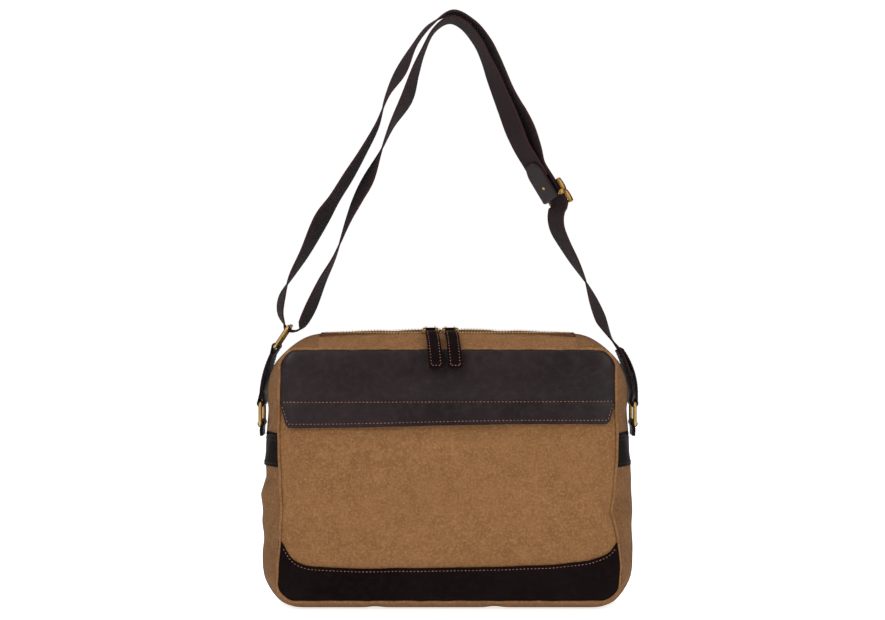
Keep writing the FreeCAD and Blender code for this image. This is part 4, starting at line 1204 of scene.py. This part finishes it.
# ---- webbing and adjuster -----------------------------------------------------------------------
LEAN, ROLL = math.radians(31.0), math.radians(23.0)
ADJUSTER = np.array([107.6, 0.0, 419.6]) * MM
RUN_UP = np.array([-math.sin(LEAN), 0.0, math.cos(LEAN)])
FLAT_OUT = np.array([math.cos(LEAN), 0.0, math.sin(LEAN)])
ADJ_OUT = FLAT_OUT * math.cos(ROLL) + np.array([0.0, math.sin(ROLL), 0.0])
ADJ_WIDE = np.cross(RUN_UP, ADJ_OUT)
BAR_BELOW, BUCKLE_HALF, SLEEVE, SLIDE_UP = 4.4 * MM, 12.2 * MM, 41 * MM, 20 * MM
ADJ_MIDDLE = ADJUSTER + ADJ_OUT * BAR_BELOW

# Stations (x, z, roll in degrees), in millimetres, up the outer strand, over the top, round the ring and back.
OUTER_STRAND = [
    (169.6, 273.2, 4), (161.4, 288.2, 16), (157.5, 296.1, 20), (150.8, 312.6, 16), (144.1, 329.0, 6),
    (140.0, 337.5, 0), (130.8, 354.0, -9), (121.1, 371.0, -14), (113.7, 386.0, -19), (111.6, 397.6, -22),
    (112.6, 405.6, -23),
]
OVER_TOP = [
    (87.5, 469.4, -26), (81.5, 488.1, -26), (74.3, 503.2, -25), (68.0, 514.9, -22), (61.7, 530.0, -16),
    (55.5, 546.7, -13), (48.6, 562.4, -13), (40.0, 579.7, -11), (25.8, 597.5, -8), (5.1, 609.2, -2),
    (-17.2, 597.5, 9), (-34.3, 576.1, 10), (-48.4, 548.8, 20), (-62.0, 524.5, 8), (-72.5, 494.1, -2),
    (-87.5, 465.9, -7), (-102.0, 441.7, -12), (-116.5, 418.6, -13), (-130.4, 396.5, -20),
    (-146.8, 363.5, -11), (-161.2, 338.5, -2), (-170.6, 317.6, 13), (-172.8, 301.6, 13),
]
ROUND_RING = [
    (-169.0, 290.0, 6), (-166.8, 284.4, 0), (-162.8, 282.1, 0), (-157.7, 281.6, 0), (-151.2, 284.4, 0),
]
INNER_STRAND = [
    (-148.9, 290.2, 10), (-140.8, 307.1, 14), (-129.1, 334.0, 8), (-116.2, 359.5, 0), (-102.8, 395.0, -10),
    (-92.4, 418.1, -18), (-81.4, 439.2, -20), (-68.4, 468.4, -4), (-57.4, 494.1, 4), (-41.9, 521.9, 16),
    (-33.3, 548.8, 10), (-25.2, 570.1, 3), (-14.6, 590.9, 0), (1.0, 602.1, 3), (16.7, 597.0, 8),
    (31.3, 579.2, 10), (39.4, 562.4, 12), (46.4, 545.7, 18), (53.2, 528.5, 21), (60.4, 510.8, 24),
    (68.4, 490.1, 26),
]


def webbing_path():
    """Rows of x, y, z and roll, about 3 mm apart."""
    sewn = arc_through(RIGHT_RUN, 21)[[11, 16, 20]]
    rows = [(x, 0.0, z, 0.0) for x, z in sewn]

    def add(stations):
        rows.extend((x * MM, 0.0, z * MM, math.radians(roll)) for x, z, roll in stations)

    def straight(base, first, last, roll):
        for d in (first, (first + last) / 2, last):
            rows.append((*(base + RUN_UP * d), roll))

    add(OUTER_STRAND)
    straight(ADJ_MIDDLE, -BUCKLE_HALF + 4.2 * MM, BUCKLE_HALF + 4 * MM + SLIDE_UP, -ROLL)
    add(OVER_TOP + ROUND_RING + INNER_STRAND)
    straight(ADJUSTER, SLEEVE + SLIDE_UP, SLIDE_UP + 2.5 * MM, ROLL)
    return catmull(rows, 3 * MM)


def make_webbing():
    rows = webbing_path()
    path, roll = rows[:, :3], rows[:, 3]
    along = np.gradient(path, axis=0)
    along /= np.linalg.norm(along, axis=1, keepdims=True)
    left = -np.cross([0.0, 1.0, 0.0], along)
    left /= np.linalg.norm(left, axis=1, keepdims=True)
    across = np.array([0.0, -1.0, 0.0]) * np.cos(roll)[:, None] + left * np.sin(roll)[:, None]
    thing = sweep("webbing", path, across,
                  strap_profile(18.5 * MM, 1.9 * MM, 0.7 * MM, count=9), WEBBING, "strap",
                  uv=True)
    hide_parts("strap_webbing")
    print("webbing length", round(float(run_lengths(path)[-1]), 3))


def adj(x, y, z):
    """A place on the adjuster: across, up the strap, out of the strap."""
    return ADJ_MIDDLE + ADJ_WIDE * x + RUN_UP * y + ADJ_OUT * z


def make_sleeve():
    ply, slot_half = 1.5 * MM, 1.4 * MM
    mid = -BAR_BELOW
    off = slot_half + ply / 2
    line = [(y, mid + off) for y in np.linspace(SLEEVE - 1.5 * MM, 0, 30)]
    line += [(-off * math.sin(a), mid + off * math.cos(a)) for a in np.linspace(0, math.pi, 14)[1:-1]]
    line += [(y, mid - off) for y in np.linspace(0, SLEEVE, 30)]
    path = np.array([adj(0, y, z) for y, z in line])
    tip = 16 * MM
    up = np.array([y for y, _ in line])
    widths = np.where(up > SLEEVE - tip, np.sqrt(np.clip(1 - ((up - SLEEVE + tip) / (tip * 1.02)) ** 2, 0.05, 1)), 1.0)
    widths = np.where(up > SLEEVE - tip, 0.25 + 0.75 * widths, 1.0)
    thing = sweep("adjuster_leather", path, np.tile(ADJ_WIDE, (len(path), 1)),
                  strap_profile(18.8 * MM, ply), STRAP_LEATHER,
                  "adjuster", widths)
    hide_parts("adjuster_fold", "adjuster_ply_outer", "adjuster_ply_inner")
    face = mid - off - ply / 2
    edge = 15.8 * MM
    rows = []
    for x in (-edge, edge):
        rows.append(([adj(x, y, face) for y in np.linspace(4 * MM, SLEEVE - 10 * MM, 12)], -ADJ_OUT))
    turn = np.linspace(0, math.pi, 22)
    bend = [adj(edge * math.cos(a), SLEEVE - 10 * MM + 7.2 * MM * math.sin(a), face) for a in turn]
    rows.append((bend, -ADJ_OUT))
    stitches("stitch_adjuster", rows, "adjuster", material=DARK_STITCH, pitch=3.2 * MM, radius=0.3 * MM)


def lobe(centre, tall, deep, wide):
    """A rounded lobe of a buckle's cheek, with its centre and its size up the strap, out of it and across it."""
    rings, around = 10, 16
    points = []
    for i in range(rings + 1):
        v = math.pi * i / rings
        for j in range(around):
            u = 2 * math.pi * j / around
            ball = math.cos(v), math.sin(v) * math.cos(u), math.sin(v) * math.sin(u)
            y, z, x = (math.copysign(abs(c) ** 0.8, c) for c in ball)
            points.append(centre + RUN_UP * y * tall / 2 + ADJ_OUT * z * deep / 2 + ADJ_WIDE * x * wide / 2)
    return points, grid_faces(rings + 1, around, True)


def make_buckle():
    """Slide buckle: two outer bars and a centre bar between two cheeks, each cheek a figure of two lobes."""
    parts = []
    half = 21.4 * MM

    def bar(y, z, radius, reach):
        ring = np.array(round_profile(radius, 12))
        places = np.array([adj(x, y, z) for x in np.linspace(-reach, reach, 9)])
        grid = places[:, None] + RUN_UP * ring[None, :, 0:1] + ADJ_OUT * ring[None, :, 1:2]
        faces = grid_faces(9, 12, True) + [tuple(range(11, -1, -1)), tuple(96 + i for i in range(12))]
        parts.append((grid.reshape(-1, 3), faces))

    for sign in (-1, 1):
        bar(sign * BUCKLE_HALF, 3.1 * MM, 1.8 * MM, half)
    bar(0, -BAR_BELOW, 1.1 * MM, half)
    for side in (-1, 1):
        for y in (6.6 * MM, -6.6 * MM):
            parts.append(lobe(adj(side * half, y, 2.2 * MM), 15.6 * MM, 5.6 * MM, 3.2 * MM))
        parts.append(lobe(adj(side * half, 0, -1.6 * MM), 5.2 * MM, 8.6 * MM, 3.0 * MM))
    thing = joined("buckle", parts, BRASS, "adjuster")
    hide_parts("adjuster_buckle")


# ---- zips ---------------------------------------------------------------------------------------
TILT = math.radians(10.0)
ZIP_Z = 279.8 * MM
ACROSS = np.array([0.0, math.cos(TILT), math.sin(TILT)])
OUT = np.array([0.0, -math.sin(TILT), math.cos(TILT)])
TEETH, TEETH_PITCH = 42, 3 * MM              # in each half of a row
TOOTH = (1.7 * MM, 2.7 * MM, 2.5 * MM)       # along, across and out


def zip_place(x, across, out):
    return np.array([x, ZIP_Y, ZIP_Z]) + ACROSS * across + OUT * out


def tooth(centre, along, across, out, size):
    points = []
    a, b, c = (d / 2 for d in size)
    shape = [
        (-a, -b * 0.7), (-a * 0.6, -b), (a * 0.6, -b), (a, -b * 0.7), (a, b * 0.75), (a * 0.5, b), (-a * 0.5, b),
        (-a, b * 0.75),
    ]
    for level, shrink in ((-c, 0.75), (-c * 0.6, 1.0), (c * 0.6, 1.0), (c, 0.72)):
        for p, q in shape:
            points.append(centre + along * p * shrink + across * q * shrink + out * level)
    faces = grid_faces(4, 8, True)
    faces += [tuple(range(7, -1, -1)), tuple(24 + i for i in range(8))]
    return points, faces


def make_main_zip():
    along = np.array([1.0, 0.0, 0.0])
    for row, side_sign, body, tape_node, teeth_node in (
        ("back", 1, "mouth_back", "zip_tape_back", "zip_teeth_back"),
        ("front", -1, "mouth_front", "zip_tape_front", "zip_teeth_front"),
    ):
        for half_name, half in (("left", -1), ("right", 1)):
            xs = np.linspace(0, half * (ZIP_HALF - 1 * MM), 40)
            near, far = side_sign * 1.9 * MM, side_sign * 8.6 * MM
            lines = ((0, near), (0.3, near + (far - near) * 0.4), (1, far))
            grid = np.array([[zip_place(x, c, -0.2 * MM - 0.9 * MM * t) for x in xs] for t, c in lines])
            tape = new_object(f"zip_tape_{row}_{half_name}", grid.reshape(-1, 3), grid_faces(3, len(xs)), ZIP_TAPE)
            thicken(tape, 0.7 * MM, 0.0)
            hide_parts(tape_node)
            bend_open(tape)
            first = (0.75 if side_sign > 0 else 2.25) * MM
            parts = []
            for k in range(TEETH):
                middle = zip_place(half * (first + TEETH_PITCH * k), side_sign * 1.35 * MM, 0)
                parts.append(tooth(middle, along, ACROSS * side_sign, OUT, TOOTH))
            teeth = joined(f"zip_teeth_{row}_{half_name}", parts, ZIP_METAL, None)
            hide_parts(teeth_node)
            bend_open(teeth)
    for half in (-1, 1):
        for level, body in ((-0.413 - 0.065, "mouth_front"), (-0.109 + 0.065, "mouth_back")):
            xs = np.linspace(0, half * (ZIP_HALF - 3 * MM), 60)
            path = [(x, level * SEAM_Y, top_z(x, level) + 0.75 * MM) for x in xs]
            path = creased(np.array(path), np.tile([0.0, 0.0, 1.0], (60, 1)), 0.8)
            thing = stitches(f"stitch_zip_{body[6:]}_{'left' if half < 0 else 'right'}", [(path, (0, -0.15, 1))], None,
                             material=CANVAS_THREAD, pitch=3.2 * MM, radius=0.34 * MM)
            bend_open(thing)


def make_pulls():
    for name, x0, slider_body, node_name, tilt in (("left", -17.5 * MM, "pull_left", "leather_pull_left", 0.103),
                                                    ("right", 2.5 * MM, "pull_right", "leather_pull_right", 0.092)):
        bar = zip_place(0, -8.5 * MM, 5.2 * MM)
        run = [(bar[1], bar[2]), (-25.5 * MM, 281.8 * MM), (-34 * MM, 280.8 * MM), (-42 * MM, 278.6 * MM),
               (-49.5 * MM, 274.8 * MM),
               (-55.0 * MM, 268.8 * MM), (-58.6 * MM, 261 * MM), (-60.4 * MM, 252 * MM), (-60.8 * MM, 246 * MM)]
        line = catmull(np.array([(y, 0, z) for y, z in run]), 1.2 * MM)[:, [0, 2]]
        d = np.gradient(line, axis=0)
        d /= np.linalg.norm(d, axis=1, keepdims=True)
        n = np.column_stack([d[:, 1], -d[:, 0]])
        if n[len(n) // 2][1] < 0:
            n = -n
        lengths = np.concatenate([[0], np.cumsum(np.linalg.norm(np.diff(line, axis=0), axis=1))])
        total = lengths[-1]

        def place(c, t_len, up):
            y, z = [np.interp(t_len, lengths, line[:, k]) for k in (0, 1)]
            ny, nz = [np.interp(t_len, lengths, n[:, k]) for k in (0, 1)]
            return np.array([x0 + c + tilt * t_len, y + ny * up, z + nz * up])

        half = 7.35 * MM
        for ply_name, lift in (("top", 0.78 * MM), ("under", -0.78 * MM)):
            path, widths = [], []
            for t_len in np.linspace(2.2 * MM, total, 46):
                path.append(place(0, t_len, lift))
                neck = np.clip((t_len - 3.5 * MM) / (5 * MM), 0, 1)
                end = np.clip((total - t_len) / (2.4 * MM), 0, 1)
                taper, tip = 0.70 + 0.13 * neck + 0.17 * t_len / total, 0.74 + 0.26 * math.sqrt(1 - (1 - end) ** 2)
                widths.append(taper * tip)
            thing = sweep(f"pull_{name}_{ply_name}", path, np.tile([1.0, 0.0, 0.0], (len(path), 1)),
                          strap_profile(half, 1.5 * MM, 0.45 * MM), TRIM_LEATHER, slider_body, widths)
            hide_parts(node_name)
        bail = zip_place(x0, -8.5 * MM, 5.2 * MM)
        turn = np.linspace(-2.6, 2.9, 22)
        loop = [bail + np.array([0, 1.75 * MM * math.cos(a), 1.75 * MM * math.sin(a)]) for a in turn]
        fold = sweep(f"pull_{name}_fold", loop, np.tile([1.0, 0.0, 0.0], (len(loop), 1)),
                     strap_profile(5.1 * MM, 1.4 * MM, 0.4 * MM), TRIM_LEATHER, slider_body)
        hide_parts(node_name)
        edge, first, last = 4.7 * MM, 10.5 * MM, total - 3.2 * MM
        rows = [[place(c, t, 1.55 * MM) for t in np.linspace(first, last, 20)] for c in (-edge, edge)]
        rows += [[place(c, t, 1.55 * MM) for c in np.linspace(-edge, edge, 8)] for t in (first, last)]
        lines = []
        for path in rows:
            outs = []
            for p in path:
                k = int(np.argmin((line[:, 0] - p[1]) ** 2 + (line[:, 1] - p[2]) ** 2))
                outs.append((0.0, n[k][0], n[k][1]))
            lines.append((path, outs))
        stitches(f"stitch_pull_{name}", lines, slider_body, pitch=3.1 * MM, radius=0.36 * MM, bite=0.46)


# ---- inside -------------------------------------------------------------------------------------
def make_lining():
    levels = np.linspace(-0.75, 0.97, 17)
    grid = shell_grid(levels, -3.1 * MM)
    grid[..., 2] = np.maximum(grid[..., 2], 6.2 * MM)
    ring = sheet("lining_ring", grid, LINING, all_but_mouth(grid), closed=True)
    drop_loose(ring)
    thicken(ring, 0.8 * MM, 0.0)
    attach(ring, "bag")
    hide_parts("lining")
    for name, y, sign in (("lining_front", -35.4 * MM, -1), ("lining_back", 44.9 * MM, 1)):
        zs = spaced(8 * MM, 258 * MM, step=8 * MM)
        u = np.linspace(-1, 1, 46)
        level = y / SEAM_Y

        def half_at(z):
            half, low, top, _, rt, rl = section(level)
            dz_top, dz_low = max(z - (top - rt), 0), max(low + rl - z, 0)
            r, dz = (rt, dz_top) if dz_top > 0 else (rl, dz_low)
            return half - r + math.sqrt(max(r * r - dz * dz, 0)) - 3.6 * MM

        wall = np.zeros((len(zs), len(u), 3))
        for i, z in enumerate(zs):
            wall[i, :, 0] = u * half_at(z)
            wall[i, :, 1] = y + 0.7 * MM * np.sin(u * 9 + z * 30) * (1 - u**2)
            wall[i, :, 2] = z
        if sign < 0:
            lip = wall[-1].copy()
            lip[:, 1], lip[:, 2] = -44.5 * MM, 260 * MM
            lip[:, 0] = np.clip(lip[:, 0], -ZIP_HALF - 12 * MM, ZIP_HALF + 12 * MM)
            wall = np.concatenate([wall, lip[None]])
        wall = drawn_in(wall)
        thing = sheet(name, wall, LINING)
        thicken(thing, 0.7 * MM, 0.0)
        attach(thing, "bag")
        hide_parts("lining")


def make_inner_pocket():
    zs = spaced(60 * MM, 197 * MM, 205 * MM, step=6 * MM)
    us = np.linspace(-1, 1, 41)
    grid = np.zeros((len(zs), len(us), 3))
    for i, z in enumerate(zs):
        bulge = 5.0 * MM * math.sin(math.pi * min(1.0, 0.25 + 0.75 * (z - 60 * MM) / (145 * MM)) / 2)
        grid[i, :, 0] = us * 115 * MM
        grid[i, :, 1] = 44.2 * MM - bulge * (1 - us**6) + 0.3 * MM * np.sin(us * 13)
        grid[i, :, 2] = z - 1.5 * MM * (1 - us**2) * (z - 60 * MM) / (145 * MM)
    thing = sheet("inner_slip_pocket", grid, LINING)
    thicken(thing, 1.0 * MM, 0.0, subdivide=1)
    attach(thing, "bag")
    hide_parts("inner_pocket")
    hem = [grid[-3, j] + np.array([0, -0.5 * MM, 0]) for j in range(2, len(us) - 2)]
    stitches("stitch_inner_pocket", [(hem, (0, -1, 0))], "bag", material=CANVAS_THREAD, pitch=3.0 * MM,
             radius=0.3 * MM)


def show_cad_pieces():
    """The pieces shown as they are in the CAD get their materials."""
    for name, material in (
        ("base_board", BOARD), ("pocket_pouch", LINING), ("pocket_zip_tape_upper", ZIP_TAPE),
        ("pocket_zip_tape_lower", ZIP_TAPE),
        ("pocket_zip_teeth_upper", ZIP_METAL), ("pocket_zip_teeth_lower", ZIP_METAL), ("pocket_zip_slider", ZIP_METAL),
        ("pocket_zip_tab", ZIP_METAL), ("zip_slider_left", BRASS), ("zip_slider_right", BRASS),
        ("pull_bail_left", BRASS),
        ("pull_bail_right", BRASS), ("lower_ring_left", BRASS), ("lower_ring_right", BRASS), ("upper_ring_left", BRASS),
        ("adjuster_rivet", BRASS),
    ):
        for slot in NODES[name].material_slots:
            slot.material = material


make_gusset()
make_front_panel()
make_back_panel()
for side, word in ((-1, "left"), (1, "right")):
    top_half(f"canvas_top_front_{word}", FRONT_LEVELS, side, "top_half_front")
    top_half(f"canvas_top_back_{word}", BACK_LEVELS, side, "top_half_back")
make_seam_roll("seam_roll_front", -46.3 * MM)
make_seam_roll("seam_roll_back", 46.3 * MM)
make_yoke()
make_base_trim()
make_side_patch(-1, "patch_left", "side_patch_left")
make_side_patch(1, "patch_right", "side_patch_right")
make_strap_tab(-1, "tab_left", "strap_tab_left")
make_strap_tab(1, "tab_right", "strap_tab_right")
make_strap_end(-1, LEFT_RUN, "strap_link_left", "strap_end_left", 0.0, True)
make_strap_end(1, RIGHT_RUN, "strap_link_right", "strap_end_right", 2.7 * MM, False)
make_webbing()
make_sleeve()
make_buckle()
make_main_zip()
make_pulls()
make_lining()
make_inner_pocket()
show_cad_pieces()
